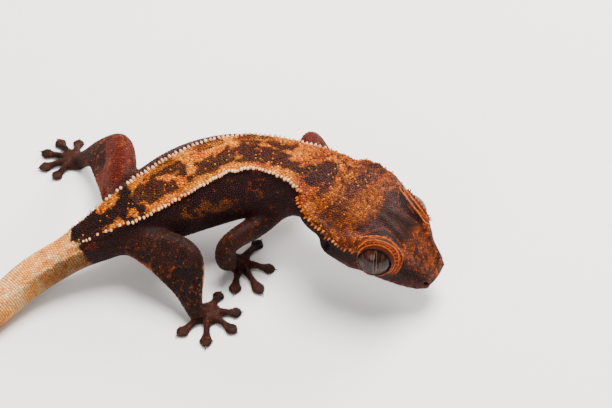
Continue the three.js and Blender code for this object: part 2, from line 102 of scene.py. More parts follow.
# Millimetres along, place, half width across the bend's plane and in it
LEGS = {
    "hind_right": [
        [0, -16.0, -2.3, 4.3, 1.1, 1.3],
        [3.2, -13.3, -4.1, 4.5, 1.3, 1.6],
        [6.4, -10.6, -5.1, 4.7, 1.0, 1.5],
        [8.0, -9.75, -5.9, 4.3, 0.95, 1.35],
        [10.4, -9.7, -7.3, 2.6, 0.85, 1.15],
        [12.6, -9.35, -8.4, 1.15, 0.65, 0.75],
        [13.9, -8.9, -8.5, 0.55, 0.5, 0.75],
    ],
    "hind_left": [
        [0, -15.5, -1.0, 4.5, 1.1, 1.4],
        [3.2, -16.0, 1.9, 5.1, 1.3, 1.85],
        [6.2, -16.1, 4.7, 5.75, 1.1, 1.7],
        [7.8, -16.6, 5.9, 5.4, 0.95, 1.45],
        [10.4, -18.2, 7.2, 3.6, 0.85, 1.15],
        [13.6, -20.0, 8.5, 1.2, 0.62, 0.75],
        [14.9, -20.6, 8.9, 0.55, 0.5, 0.75],
    ],
    "fore_right": [
        [0, -1.9, -0.2, 5.2, 0.9, 1.0],
        [2.6, -4.0, -2.0, 4.7, 0.95, 1.05],
        [4.9, -6.1, -3.6, 4.55, 0.85, 0.95],
        [6.1, -6.75, -4.05, 3.9, 0.8, 0.95],
        [8.0, -6.75, -4.0, 2.3, 0.72, 0.9],
        [9.6, -6.45, -3.5, 1.1, 0.5, 0.58],
        [10.6, -6.1, -3.05, 0.55, 0.42, 0.55],
    ],
    "fore_left": [
        [0, 0.3, 1.9, 5.6, 0.9, 1.0],
        [2.4, 0.2, 4.1, 5.7, 0.95, 1.05],
        [4.6, 0.35, 6.1, 5.9, 0.85, 0.98],
        [5.7, 0.75, 6.7, 5.3, 0.8, 0.95],
        [8.0, 1.8, 6.6, 3.2, 0.72, 0.9],
        [10.2, 2.7, 6.3, 1.2, 0.5, 0.58],
        [11.2, 3.2, 6.3, 0.55, 0.42, 0.55],
    ],
}
# Middle and half sizes of the sole, and each toe's direction in degrees and length
FEET = {
    "hind_right": ((-8.3, -8.1), (1.25, 1.15), [(-138, 3.5), (-91, 3.6), (-38, 3.3), (3, 3.0), (66, 2.6)]),
    "hind_left": ((-21.1, 9.2), (1.25, 1.1), [(232, 2.9), (197, 3.4), (162, 3.4), (125, 3.2), (84, 2.6)]),
    "fore_right": ((-5.75, -2.75), (1.0, 0.95), [(128, 2.3), (55, 3.3), (-12, 3.3), (-58, 4.0), (-97, 3.4)]),
    "fore_left": ((3.6, 6.35), (1.0, 0.95), [(-62, 2.6), (-18, 3.2), (24, 3.4), (66, 3.2), (112, 2.6)]),
}
SOLE_HEIGHT = 0.62
# A toe: share of its length, half width, half height, height of its middle
TOE = [
    [0, 0.38, 0.4, 0.34],
    [0.22, 0.34, 0.4, 0.4],
    [0.45, 0.29, 0.34, 0.36],
    [0.6, 0.42, 0.28, 0.24],
    [0.74, 0.62, 0.27, 0.22],
    [0.86, 0.46, 0.27, 0.22],
    [0.95, 0.17, 0.24, 0.22],
    [1.0, 0.07, 0.1, 0.16],
]

# Curves and sections, as in the part's source
UP = np.array([0.0, 0.0, 1.0])
FORWARD = np.array([
    math.cos(HEAD_PITCH) * math.cos(HEAD_HEADING),
    math.cos(HEAD_PITCH) * math.sin(HEAD_HEADING),
    math.sin(HEAD_PITCH),
])
STATIONS = [
    [row[0], *(SNOUT - FORWARD * row[0]), *row[1:], 0] for row in HEAD_STATIONS
] + BODY_STATIONS + [[*row, 2, 2, 72, 0, 0] for row in TAIL_STATIONS]


def unit(v):
    return v / np.linalg.norm(v, axis=-1, keepdims=True)


def level_way(degrees):
    """The level direction at an angle from +X."""
    return np.array([math.cos(math.radians(degrees)), math.sin(math.radians(degrees)), 0])


def rows_at(rows, t):
    """The rows' values at each t, by a cubic that passes through each row."""
    rows = np.asarray(rows, float)
    t = np.atleast_1d(np.asarray(t, float))
    x, y = rows[:, 0], rows[:, 1:]
    n = len(x)
    i = np.clip(np.searchsorted(x, t, side="left") - 1, 0, n - 2)
    lo, hi = np.maximum(np.arange(n) - 1, 0), np.minimum(np.arange(n) + 1, n - 1)
    slope = (y[hi] - y[lo]) / (x[hi] - x[lo])[:, None]
    span = (x[i + 1] - x[i])[:, None]
    s = (t - x[i])[:, None] / span
    return (
        (2 * s**3 - 3 * s**2 + 1) * y[i]
        + (s**3 - 2 * s**2 + s) * span * slope[i]
        + (3 * s**2 - 2 * s**3) * y[i + 1]
        + (s**3 - s**2) * span * slope[i + 1]
    )


def frames(rows, t, reference, roll=0.0):
    """Place, direction, side and up along a row curve."""
    step = 0.05
    first, last = rows[0][0], rows[-1][0]

    def place(s):
        return rows_at(rows, np.clip(s, first, last))[:, :3]

    along = unit(place(t + step) - place(t - step))
    side = unit(np.cross(along, reference))
    up = np.cross(side, along)
    roll = np.radians(np.broadcast_to(roll, t.shape))[:, None]
    c, s = np.cos(roll), np.sin(roll)
    return place(t), along, side * c - up * s, up * c + side * s


def body_frames(t):
    values = rows_at(STATIONS, t)
    at, along, side, up = frames(STATIONS, t, UP, values[:, 10])
    return at, along, side, up, values


def power(value, n):
    return np.sign(value) * np.abs(value) ** (2 / n)


def crest_angle(t, hand):
    """The crest's angle. On the trunk the left one lies a little nearer the midline."""
    inward = np.interp(t, [16, 21, 29, 33], [0, 8, 8, 0]) if hand > 0 else 0
    return rows_at(STATIONS, t)[:, 8] + inward


def body_points(t, angle, grow=0.0):
    """Points on the body's surface. angle is 0 at the animal's left and 90 at its back."""
    at, along, side, up, v = body_frames(t)
    c, s = np.cos(np.radians(angle)), np.sin(np.radians(angle))
    square = np.where(s > 0, v[:, 6], v[:, 7])
    height = np.where(s > 0, v[:, 4], v[:, 5])
    away = np.minimum(np.abs(angle - v[:, 8]), np.abs(180 - angle - v[:, 8]))
    stand = v[:, 9] * np.exp(-((away / 14) ** 2))
    x = power(c, square) * (v[:, 3] + grow) + np.sign(c) * stand * 0.85
    y = power(s, square) * (height + grow) + stand * 0.5
    return at + side * x[:, None] + up * y[:, None]


head_side, head_up = (a[0] for a in frames(STATIONS, np.array([4.0]), UP)[2:])


def in_head(behind, left, up):
    return SNOUT - FORWARD * behind + head_side * left + head_up * up


def gaze(hand):
    return unit(FORWARD * EYE_GAZE[0] + head_side * hand * EYE_GAZE[1] + head_up * EYE_GAZE[2])


def eye_place(hand):
    return in_head(EYE["behind"], hand * EYE["side"], EYE["up"])


def nostril_place(hand):
    return in_head(NOSTRIL["behind"], hand * NOSTRIL["side"], NOSTRIL["up"])


def spoke_of(fore, high, turn):
    return fore * math.cos(turn) + high * math.sin(turn)


def eye_axes(hand):
    """An eye's middle, its line of sight and the directions forward and up across that line."""
    look = gaze(hand)
    fore = unit(FORWARD - look * (FORWARD @ look))
    return eye_place(hand), look, fore, np.cross(fore, look) * hand


OFFSET = np.array([*(np.array(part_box("eye_left")[0]) + np.array(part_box("eye_left")[1]))[:2], 0]) / 2 / MM
OFFSET[:2] -= eye_place(1)[:2]


def to_frame(points):
    """From the drawing frame in millimetres to the row frame in metres."""
    return (points + OFFSET) * MM


# Camera, light and floor
ELEVATION, LENS, SENSOR, PIXELS_PER_MM = math.radians(50.0), 100.0, 36.0, 11.7
FRAME_WIDTH, VIEW_HEIGHT = 612, 5.0
view_right = np.array([1.0, 0, 0])
view_up = np.array([0, math.sin(ELEVATION), math.cos(ELEVATION)])
view_back = np.array([0, -math.cos(ELEVATION), math.sin(ELEVATION)])
camera_data = bpy.data.cameras.new("camera")
camera_data.lens, camera_data.sensor_width = LENS, SENSOR
camera_data.clip_start, camera_data.clip_end = 0.005, 20
camera = bpy.data.objects.new("camera", camera_data)
distance = FRAME_WIDTH * LENS / SENSOR / PIXELS_PER_MM
where = to_frame(UP * VIEW_HEIGHT + view_back * distance)


def matrix_of(right, up, back, place):
    """The matrix of an object at a place, with its own axes pointing right, up and back."""
    matrix = np.eye(4)
    matrix[:3] = np.column_stack([right, up, back, place])
    return Matrix(matrix.tolist())


camera.matrix_world = matrix_of(view_right, view_up, view_back, where)
bpy.context.collection.objects.link(camera)
bpy.context.scene.camera = camera


LIT_PLACE = (0, 0, 0.005)


def area_light(name, place, size, watts, colour):
    """A round light that faces the animal."""
    data = bpy.data.lights.new(name, "AREA")
    data.shape, data.size, data.energy, data.color = "DISK", size, watts, colour
    light = bpy.data.objects.new(name, data)
    back = unit(np.array(place) - LIT_PLACE)
    right = unit(np.cross([0, 1, 0.01], back))
    light.matrix_world = matrix_of(right, np.cross(back, right), back, place)
    bpy.context.collection.objects.link(light)


area_light("softbox_top", (0.05, 0.12, 0.34), size=0.24, watts=4.2, colour=(1, 0.97, 0.93))
area_light("softbox_back", (0.22, 0.26, 0.16), size=0.16, watts=2.2, colour=(1, 0.98, 0.96))
area_light("softbox_front", (-0.16, -0.30, 0.20), size=0.24, watts=0.7, colour=(1, 0.96, 0.93))


def set_inputs(node, values):
    for key, value in values.items():
        node.inputs[key.replace("_", " ")].default_value = value


world = bpy.data.worlds.new("studio")
bpy.context.scene.world = world
world.use_nodes = True
set_inputs(world.node_tree.nodes["Background"], dict(Color=(1, 0.985, 0.975, 1), Strength=0.42))


def principled(name, **values):
    material = bpy.data.materials.new(name)
    material.use_nodes = True
    shader = material.node_tree.nodes["Principled BSDF"]
    set_inputs(shader, values)
    return material, material.node_tree, shader


def mesh_object(name, points, faces, material, colours=None, uvs=None):
    """A mesh from points in the drawing frame and an array of triangles or quads."""
    mesh = bpy.data.meshes.new(name)
    faces = np.asarray(faces, np.int32)
    corners = faces.shape[1]
    mesh.vertices.add(len(points))
    mesh.vertices.foreach_set("co", to_frame(np.asarray(points)).astype(np.float32).ravel())
    mesh.loops.add(faces.size)
    mesh.loops.foreach_set("vertex_index", faces.ravel())
    mesh.polygons.add(len(faces))
    mesh.polygons.foreach_set("loop_start", np.arange(0, faces.size, corners, dtype=np.int32))
    mesh.polygons.foreach_set("use_smooth", np.ones(len(faces), bool))
    mesh.update(calc_edges=True)
    if colours is not None:
        layer = mesh.color_attributes.new("mark", "FLOAT_COLOR", "POINT")
        flat = np.ones((len(points), 4), np.float32)
        flat[:, :colours.shape[1]] = colours
        layer.data.foreach_set("color", flat.ravel())
    if uvs is not None:
        layer = mesh.uv_layers.new(name="OFBake")
        layer.data.foreach_set("uv", uvs[faces.ravel()].astype(np.float32).ravel())
    mesh.materials.append(material)
    obj = bpy.data.objects.new(name, mesh)
    bpy.context.collection.objects.link(obj)
    return obj


floor_material = principled(
    "pale_floor", Base_Color=(0.86, 0.85, 0.84, 1), Roughness=0.6, Specular_IOR_Level=0.2
)[0]
HALF_FLOOR = 2500.0
floor_corners = np.array([[-1, -1, 0], [1, -1, 0], [1, 1, 0], [-1, 1, 0]]) * HALF_FLOOR
floor = mesh_object("floor", floor_corners, [[0, 1, 2, 3]], floor_material)

# The skin, as one level set
VOXEL = 0.1
BAND = 10
GROUND = 0.02
# The box that the feet and the body stay within, and the room round it
FEET_LOW, FEET_HIGH, ROOM = (-26, -25, 0), (9, 14, 0), 1.5
sample_t, sample_angle = np.meshgrid(np.arange(0, TAIL_END, 0.5), np.arange(0, 360, 30), indexing="ij")
every = body_points(sample_t.ravel(), sample_angle.ravel())
reach_low = np.minimum(every.min(0), FEET_LOW) - ROOM
reach_high = np.maximum(every.max(0), FEET_HIGH) + ROOM
first = np.floor(reach_low / VOXEL).astype(int)
shape = np.ceil(reach_high / VOXEL).astype(int) - first
solid = np.full(shape, VOXEL * BAND, np.float32)
axis_values = [((first[i] + np.arange(shape[i])) * VOXEL).astype(np.float32) for i in range(3)]


def smooth_min(a, b, k):
    h = np.maximum(k - np.abs(a - b), 0) / k
    return np.minimum(a, b) - h * h * k * 0.25


def part_of_grid(low, high):
    """The slices of the grid that hold a box, and its coordinates."""
    a = np.clip(np.floor(np.asarray(low) / VOXEL).astype(int) - first, 0, shape)
    b = np.clip(np.ceil(np.asarray(high) / VOXEL).astype(int) - first + 1, 0, shape)
    where = tuple(slice(a[i], b[i]) for i in range(3))
    grids = np.meshgrid(*(axis_values[i][where[i]] for i in range(3)), indexing="ij", sparse=True)
    return where, grids, a + first


def add_mesh(points, quads, caps, blend):
    """Joins a closed lofted mesh to the skin."""
    margin = VOXEL * BAND
    where, _, start = part_of_grid(points.min(0) - margin, points.max(0) + margin)
    level = vdb.FloatGrid.createLevelSetFromPolygons(
        points.astype(np.float32),
        triangles=caps.astype(np.uint32),
        quads=quads.astype(np.uint32),
        transform=vdb.createLinearTransform(voxelSize=VOXEL),
        halfWidth=float(BAND),
    )
    block = np.empty(solid[where].shape, np.float32)
    level.copyToArray(block, ijk=tuple(int(v) for v in start))
    solid[where] = smooth_min(solid[where], block, blend)


def add_field(field, low, high, blend, take=False):
    """Joins a field to the skin, or takes it away."""
    where, grids, _ = part_of_grid(low, high)
    sign = -1 if take else 1
    solid[where] = sign * smooth_min(sign * solid[where], field(grids), blend)


TINY = 1e-6


def add_oval(at, axes, halves, reach, blend, take=False):
    """Joins an oval to the skin, or takes it away, within reach of its middle."""
    def field(grids):
        q = [sum((grids[j] - at[j]) * axis[j] for j in range(3)) for axis in axes]
        near = np.sqrt(sum((q[i] / halves[i]) ** 2 for i in range(3))) + TINY
        far = np.sqrt(sum((q[i] / halves[i] ** 2) ** 2 for i in range(3))) + TINY
        return near * (near - 1) / far

    add_field(field, at - reach, at + reach, blend, take)


ROD_ROOM = 0.8


def add_rod(points, radii, blend, take=False):
    """Joins a chain of round rods to the skin, or takes it away."""
    points = np.asarray(points, float)

    def field(grids):
        best = None
        for a, b, ra, rb in zip(points[:-1], points[1:], radii[:-1], radii[1:]):
            span = b - a
            length = float(span @ span) + 1e-9
            h = np.clip(sum((grids[j] - a[j]) * span[j] for j in range(3)) / length, 0, 1)
            d = np.sqrt(sum((grids[j] - a[j] - span[j] * h) ** 2 for j in range(3))) - (ra + (rb - ra) * h)
            best = d if best is None else np.minimum(best, d)
        return best

    margin = max(radii) + ROD_ROOM
    add_field(field, points.min(0) - margin, points.max(0) + margin, blend, take)


WEB_HALF, WEB_ROOM = 0.2, 1.2


def add_web(corners, blend):
    """Joins a thin three-cornered flap to the skin."""
    a, b, c = corners
    normal = unit(np.cross(b - a, c - a))

    def field(grids):
        q = [grids[j] - a[j] for j in range(3)]
        height = np.abs(sum(q[j] * normal[j] for j in range(3)))
        outside = None
        for p0, p1 in ((a, b), (b, c), (c, a)):
            inward = unit(np.cross(normal, p1 - p0))
            d = -sum((grids[j] - p0[j]) * inward[j] for j in range(3))
            outside = d if outside is None else np.maximum(outside, d)
        outside = np.maximum(outside, 0)
        return np.sqrt(outside**2 + height**2) - WEB_HALF

    add_field(field, corners.min(0) - WEB_ROOM, corners.max(0) + WEB_ROOM, blend)


def loft(rings):
    """Points, quads and cap triangles of a closed form from an array of rings."""
    count, sides = rings.shape[:2]
    points = np.concatenate([rings.reshape(-1, 3), rings[0].mean(0)[None], rings[-1].mean(0)[None]])
    i, j = np.meshgrid(np.arange(count - 1), np.arange(sides), indexing="ij")
    a, b = i * sides + j, i * sides + (j + 1) % sides
    quads = np.stack([a, b, b + sides, a + sides], -1).reshape(-1, 4)
    j = np.arange(sides)
    n = (j + 1) % sides
    middle, last = count * sides, (count - 1) * sides
    caps = np.concatenate([
        np.stack([np.full(sides, middle), n, j], -1),
        np.stack([np.full(sides, middle + 1), last + j, last + n], -1),
    ])
    return points, quads, caps


def tube(rows, count, sides, reference):
    t = np.linspace(rows[0][0], rows[-1][0], count)
    v = rows_at(rows, t)
    at, _, side, up = frames(rows, t, reference)
    angle = np.linspace(0, 2 * np.pi, sides, endpoint=False)
    x = np.cos(angle)[None, :, None] * v[:, 4][:, None, None] * side[:, None]
    y = np.sin(angle)[None, :, None] * v[:, 3][:, None, None] * up[:, None]
    return at[:, None] + x + y


BODY_SIDES = 96
body_t = np.concatenate([np.linspace(0, 1, 24)[:-1] ** 1.5, np.arange(1.0, TAIL_END, 0.2), [TAIL_END]])
body_angle = np.arange(BODY_SIDES) * 360 / BODY_SIDES
body_rings = body_points(np.repeat(body_t, BODY_SIDES), np.tile((body_angle + 90) % 360 - 90, len(body_t)))
add_mesh(*loft(body_rings.reshape(len(body_t), BODY_SIDES, 3)), blend=0.3)

HANDS = {"left": 1, "right": -1}
head_axes = (FORWARD, head_side, head_up)


def head_rod(hand, places, radii, blend):
    """A rod on one side of the head, through places given as for in_head."""
    add_rod([in_head(behind, hand * out, up) for behind, out, up in places], radii, blend)


def half_width(behind, height):
    """The head's half width at a height below its middle."""
    v = rows_at(STATIONS, behind)
    return v[:, 3] * np.maximum(0, 1 - np.abs(height / v[:, 5]) ** v[:, 7]) ** (1 / v[:, 7])


BROW = [(3.1, 1.9, 1.6), (4.6, 2.35, 2.3), (6.2, 2.9, 2.15), (8.2, 3.7, 1.3)]
JAW = [(6.6, 3.0, -1.2), (8.6, 3.3, -1.1)]
MUZZLE = [(0.9, 1.1, 0.75), (2.2, 1.45, 1.15), (3.5, 1.75, 1.75)]
CROWN = [(4.0, 0.9, 2.05), (5.2, 0.75, 2.35), (6.6, 0.45, 2.3), (7.4, 0.5, 2.15)]
LIP = np.array([(0.25, -0.25), (0.9, -0.5), (2.0, -0.75), (3.4, -1.05), (5.2, -1.32), (7.0, -1.2)])
for hand in HANDS.values():
    middle = eye_place(hand) - gaze(hand) * LID["inset"]
    add_oval(middle, head_axes, LID["mound"], reach=3.4, blend=0.6)
    # The brow runs from the eye's top to the crest, and the jaw swells below the ear
    head_rod(hand, BROW, [0.3, 0.32, 0.35, 0.3], blend=0.7)
    head_rod(hand, JAW, [0.8, 0.9], blend=1.0)
    # Low ridges run along the muzzle from the nostril to the eye and over the crown
    head_rod(hand, MUZZLE, [0.25, 0.3, 0.3], blend=0.6)
    head_rod(hand, CROWN, [0.2, 0.26, 0.26, 0.2], blend=0.45)
    behind, height = LIP.T
    lip = np.column_stack([behind, half_width(behind, height) - 0.1, height])
    head_rod(hand, lip, [0.2, 0.22, 0.24, 0.24, 0.22, 0.15], blend=0.3)

# The crest's two raised folds
for hand in HANDS.values():
    t = np.arange(CREST_FROM, CREST_TO, 0.8)
    angle = crest_angle(t, hand)
    angle = angle if hand > 0 else 180 - angle
    fade = np.clip((CREST_TO - t) / 6, 0.3, 1)
    line = body_points(t, angle, -0.08)
    for k in range(0, len(t) - 1, 4):
        add_rod(line[k:k + 5], list(0.24 * fade[k:k + 5]), blend=0.35)

# Legs, soles and toes
for name, rows in LEGS.items():
    knee, hip, foot_end = (np.array(rows[k][1:4]) for k in (3, 0, 5))
    bend = unit(np.cross(knee - hip, foot_end - knee))
    add_mesh(*loft(tube(rows, count=90, sides=40, reference=bend)), blend=0.7)
    (foot_x, foot_y), (sole_x, sole_y), toes = FEET[name]
    middle = np.array([foot_x, foot_y, 0.2])
    add_oval(middle, np.eye(3), (sole_x, sole_y, SOLE_HEIGHT), reach=2, blend=0.5)
    for degrees, length in toes:
        way = level_way(degrees)
        toe_rows = []
        for share, wide, high, lift in TOE[:-1]:
            at = np.array([foot_x, foot_y, lift]) + way * (0.5 + share * (length - 0.5))
            toe_rows.append([share, *at, high * 0.95, wide])
        add_mesh(*loft(tube(toe_rows, count=40, sides=20, reference=UP)), blend=0.28)

# Loose skin behind the knees
WEBS = {
    "hind_right": ((-14.2, -4.9, 4.3), (-10.2, -6.0, 4.3), (-9.9, -8.1, 1.6)),
    "hind_left": ((-17.4, 1.2, 4.7), (-16.4, 5.6, 5.5), (-19.6, 8.2, 1.9)),
}
for corners in WEBS.values():
    add_web(np.array(corners), blend=0.6)

# The mouth, nostrils, ears and lids
LID_POINTS, FOLD_POINTS, FOLD_STEP = 33, 20, 0.3
MOUTH_START, MOUTH_LENGTH, MOUTH_POINTS = 0.08, 7.3, 16
mouth = []
for hand in (-1, 1):
    behind = MOUTH_START + MOUTH_LENGTH * (np.arange(MOUTH_POINTS) / (MOUTH_POINTS - 1)) ** 1.5
    height = rows_at(MOUTH_LINE, behind)[:, 0]
    half = [in_head(b, hand * r, h) for b, r, h in zip(behind, half_width(behind, height), height)]
    mouth += half[::-1] if hand < 0 else half
for k in range(0, len(mouth) - 1, 3):
    add_rod(mouth[k:k + 4], [0.12] * len(mouth[k:k + 4]), blend=0.1, take=True)
for hand in HANDS.values():
    place = nostril_place(hand)
    add_oval(place, head_axes, (0.42, 0.2, 0.36), reach=1.2, blend=0.25)
    pit = place + head_side * hand * 0.12
    add_oval(pit, head_axes, (0.2, 0.3, 0.17), reach=1.2, blend=0.1, take=True)
    place = in_head(EAR["behind"], hand * EAR["side"], EAR["up"])
    add_oval(place, head_axes, (0.3, 0.5, 0.5), reach=1.5, blend=0.25, take=True)
    # The eye's socket and the lids' opening
    centre, look, fore, high = eye_axes(hand)
    spokes = [spoke_of(fore, high, turn) for turn in np.linspace(0, 2 * np.pi, LID_POINTS)]
    # The upper lid comes down a little way over the eye
    lowered = [max(0, spoke @ high) for spoke in spokes]
    add_rod([centre + look * (LID["out"] + 0.22 * a) + spoke * LID["rim"] * (1 - 0.13 * a)
             for a, spoke in zip(lowered, spokes)], [LID["tube"]] * LID_POINTS, blend=0.2)
    # Folds of the upper lid, each lower than the last
    for k, rho in enumerate(FOLDS):
        arc = [centre + look * (0.92 - FOLD_STEP * k) + spoke_of(fore, high, turn) * rho
               for turn in np.radians(np.linspace(-5, 185, FOLD_POINTS))]
        share = np.linspace(0, 1, FOLD_POINTS)
        radii = np.interp(share, [0, 0.2, 0.8, 1], [0.05, 0.12, 0.12, 0.05])
        add_rod(arc, list(radii), blend=0.1)
    add_oval(centre, head_axes, (EYE["radius"] - 0.01,) * 3, reach=3, blend=0.08, take=True)
    hole = centre + look * 2.0 - high * 0.1
    halves = (LID["opening"], LID["opening"] - 0.14, 1.9)
    add_oval(hole, (fore, high, look), halves, reach=3, blend=0.08, take=True)

# The underside is flat where it rests on the floor
where, grids, _ = part_of_grid(reach_low, reach_high)
solid[where] = np.maximum(solid[where], GROUND - grids[2])

level = vdb.FloatGrid(VOXEL * BAND)
level.transform = vdb.createLinearTransform(voxelSize=VOXEL)
level.copyFromArray(solid, ijk=tuple(int(v) for v in first))
SKIN_DEPTH = 0.05
skin_points, skin_quads = level.convertToQuads(isovalue=-SKIN_DEPTH)
skin_points = skin_points.astype(float)
skin_quads = skin_quads.astype(np.int64)
del level


def corner_normals(points, quads):
    a, b, c, d = (points[quads[:, k]] for k in range(4))
    face = np.cross(c - a, d - b)
    normal = np.zeros_like(points)
    for k in range(4):
        np.add.at(normal, quads[:, k], face)
    return unit(normal + 1e-12), face, a


normals, face, at = corner_normals(skin_points, skin_quads)
if (face * at).sum() < 0:
    skin_quads = skin_quads[:, ::-1]
    normals = -normals

# Where a point lies on the animal
CENTRE_T = np.arange(0, TAIL_END, 0.2)
CENTRE = body_frames(CENTRE_T)[0]
LIMBS = list(LEGS)
LEG_SAMPLES, TOE_SAMPLES = 50, 12
limb_rows = []
for index, (name, rows) in enumerate(LEGS.items()):
    s = np.linspace(rows[0][0], rows[-1][0], LEG_SAMPLES)
    v = rows_at(rows, s)
    radius = (v[:, 3] + v[:, 4]) / 2
    which, on_toe = np.full(LEG_SAMPLES, index), np.zeros(LEG_SAMPLES)
    limb_rows.append(np.column_stack([v[:, :3], radius, which, s, on_toe]))
    (foot_x, foot_y), _, toes = FEET[name]
    for degrees, length in toes:
        way = level_way(degrees)
        share = np.linspace(0, 1, TOE_SAMPLES)
        v = rows_at(TOE, share)
        at = np.array([foot_x, foot_y, 0]) + way * (0.3 + share * (length - 0.3))[:, None] + UP * v[:, 2:3]
        whole = np.ones(TOE_SAMPLES)
        limb_rows.append(np.column_stack([at, v[:, 0], whole * index, whole * rows[-1][0], whole]))
limb_rows = np.concatenate(limb_rows)


BLOCK = 20000


def nearest(points, centres, reach):
    """The index of the sample whose ball each point is nearest to, and the distance to that ball."""
    best, apart = np.empty(len(points), int), np.empty(len(points))
    for k in range(0, len(points), BLOCK):
        block = points[k:k + BLOCK]
        d = np.sqrt(((block[:, None] - centres[None]) ** 2).sum(-1)) - reach
        best[k:k + BLOCK] = d.argmin(1)
        apart[k:k + BLOCK] = d.min(1)
    return best, apart


def locate(points):
    """Each point's place along and round the body, and which limb it is on, if any."""
    best, _ = nearest(points, CENTRE, 0)
    t = CENTRE_T[best]
    for _ in range(2):
        at, along = body_frames(t)[:2]
        t = np.clip(t + ((points - at) * along).sum(1), 0, TAIL_END)
    at, along, side, up, v = body_frames(t)
    x, y = ((points - at) * side).sum(1), ((points - at) * up).sum(1)
    square = np.where(y > 0, v[:, 6], v[:, 7])
    height = np.where(y > 0, v[:, 4], v[:, 5])
    c = np.sign(x) * np.abs(x / v[:, 3]) ** (square / 2)
    s = np.sign(y) * np.abs(y / height) ** (square / 2)
    angle = (np.degrees(np.arctan2(s, c)) + 90) % 360 - 90
    outside = (np.hypot(c, s) ** (2 / square) - 1) * np.minimum(v[:, 3], height)
    best, apart = nearest(points, limb_rows[:, :3], limb_rows[:, 3])
    limb = np.where((apart < outside) & (t < 40), limb_rows[best, 4], -1).astype(int)
    beyond = np.where(limb >= 0, outside - apart, 0)
    half = 90 - np.where(angle < 90, crest_angle(t, 1), crest_angle(t, -1))
    across = (angle - 90) / half
    return dict(
        t=t, angle=angle, across=across, lateral=across * v[:, 3] * np.radians(half), limb=limb,
        along_limb=limb_rows[best, 5], toe=limb_rows[best, 6] > 0, beyond=beyond, near=best,
        behind=-(points - SNOUT) @ FORWARD, left=(points - SNOUT) @ head_side, up=(points - SNOUT) @ head_up,
    )


def chosen(where, keep):
    return {key: value[keep] for key, value in where.items()}


# The markings
def noise(points, size, seed, octaves=1):
    """Smooth noise between -1 and 1 whose features are size millimetres across."""
    total = np.zeros(len(points))
    for k in range(octaves):
        q = points / size * 2**k + 11.7 * (seed + k)
        corner = np.floor(q).astype(np.int64)
        f = q - corner
        f = f * f * (3 - 2 * f)
        for n in range(8):
            step = np.array([n & 1, n >> 1 & 1, n >> 2])
            i = corner + step
            h = (i[:, 0] * 73856093) ^ (i[:, 1] * 19349663) ^ (i[:, 2] * 83492791) ^ (seed * 9176 + k)
            h = ((h ^ (h >> 13)) * 1274126177) & 0x7FFFFFFF
            h = (h ^ (h >> 15)) & 0xFFFF
            total += np.prod(np.where(step, f, 1 - f), axis=1) * (h / 32767.5 - 1) * 0.5**k
    return total / (2 - 0.5 ** (octaves - 1))


def ease(value, low, high):
    s = np.clip((value - low) / (high - low), 0, 1)
    return s * s * (3 - 2 * s)


def mix(a, b, weight):
    return a + (b - a) * np.asarray(weight)[..., None]


def shade(red, green, blue):
    """A colour as seen on a screen, in the shader's own scale and deepened for the studio light."""
    c = np.array([red, green, blue]) / 255
    c = np.where(c <= 0.04045, c / 12.92, ((c + 0.055) / 1.055) ** 2.4)
    grey = c @ [0.3, 0.5, 0.2]
    return np.clip(grey + (c - grey) * 1.12, 0.0, 1.0) ** 1.45 * 0.62


GOLD, AMBER, ORANGE = shade(248, 178, 74), shade(220, 136, 48), shade(204, 110, 38)
BROWN, MAROON, UMBER = shade(84, 36, 26), shade(82, 30, 28), shade(116, 60, 34)
OLIVE, CREAM, PEACH = shade(156, 104, 58), shade(255, 228, 190), shade(255, 196, 128)
RUST, MAUVE, PLUM = shade(168, 92, 40), shade(118, 70, 68), shade(84, 42, 40)
BELLY = shade(168, 128, 104)

# Strokes of dark brown and gold on the back and of olive on the flanks: half width, then places as
# millimetres behind the snout and the share of the way from the midline to the crest, the animal's
# right being positive
DARK_STROKES = [
    (0.55, [(26.6, -0.45), (25.6, -0.35), (25.0, 0.05)]),
    (0.6, [(28.8, 0.1), (27.6, 0.1), (26.5, 0.6)]),
    (0.38, [(28.4, 0.5), (27.2, 0.85), (26.2, 0.9)]),
    (0.55, [(24.4, 0.5), (23.0, 0.4), (21.5, 0.2), (20.7, 0.1)]),
    (0.3, [(24.4, 0.5), (24.6, 0.95)]),
    (0.25, [(23.8, 1.3), (22.8, 0.95), (21.9, 0.58)]),
    (0.48, [(19.5, 0.0), (18.4, -0.05), (17.1, 0.2), (15.8, 0.3), (14.3, 0.4)]),
    (0.42, [(19.6, 0.7), (18.6, 0.55), (17.6, 0.5)]),
    (0.2, [(18.8, 1.0), (17.1, 0.8)]),
    (0.33, [(16.4, 0.5), (15.1, 0.5)]),
    (0.3, [(19.8, -0.7), (18.0, -0.6), (16.0, -0.5)]),
    (0.3, [(23.2, -0.55), (21.6, -0.6)]),
    (0.6, [(13.3, 0.75), (12.7, 0.25), (12.6, -0.2)]),
    (0.32, [(11.7, 0.15), (11.6, 0.5)]),
    (0.42, [(10.2, 1.05), (10.0, 0.75), (9.8, 0.42), (9.7, 0.07), (9.75, -0.22), (9.6, -0.5), (9.5, -0.8)]),
    (0.3, [(11.8, -0.6), (11.0, -0.35)]),
]
GOLD_STROKES = [
    (0.45, [(31.9, -0.9), (31.2, -0.8)]),
    (0.3, [(32.6, 1.1), (31.9, 1.0), (31.0, 1.1)]),
    (0.25, [(30.4, 0.85), (30.2, 0.6)]),
    (0.4, [(9.0, 0.2), (8.5, -0.1)]),
    (0.3, [(10.7, 0.3), (10.5, -0.3)]),
]
OLIVE_STROKES = [
    (0.5, [(26.2, 2.1), (25.2, 2.35), (24.0, 2.2)]),
    (0.45, [(23.3, 2.4), (22.0, 2.5), (20.6, 2.75)]),
    (0.3, [(18.5, 2.2), (17.2, 2.4)]),
    (0.4, [(25.5, -2.2), (23.8, -2.3)]),
    (0.4, [(21.5, -2.2), (19.5, -2.5)]),
]


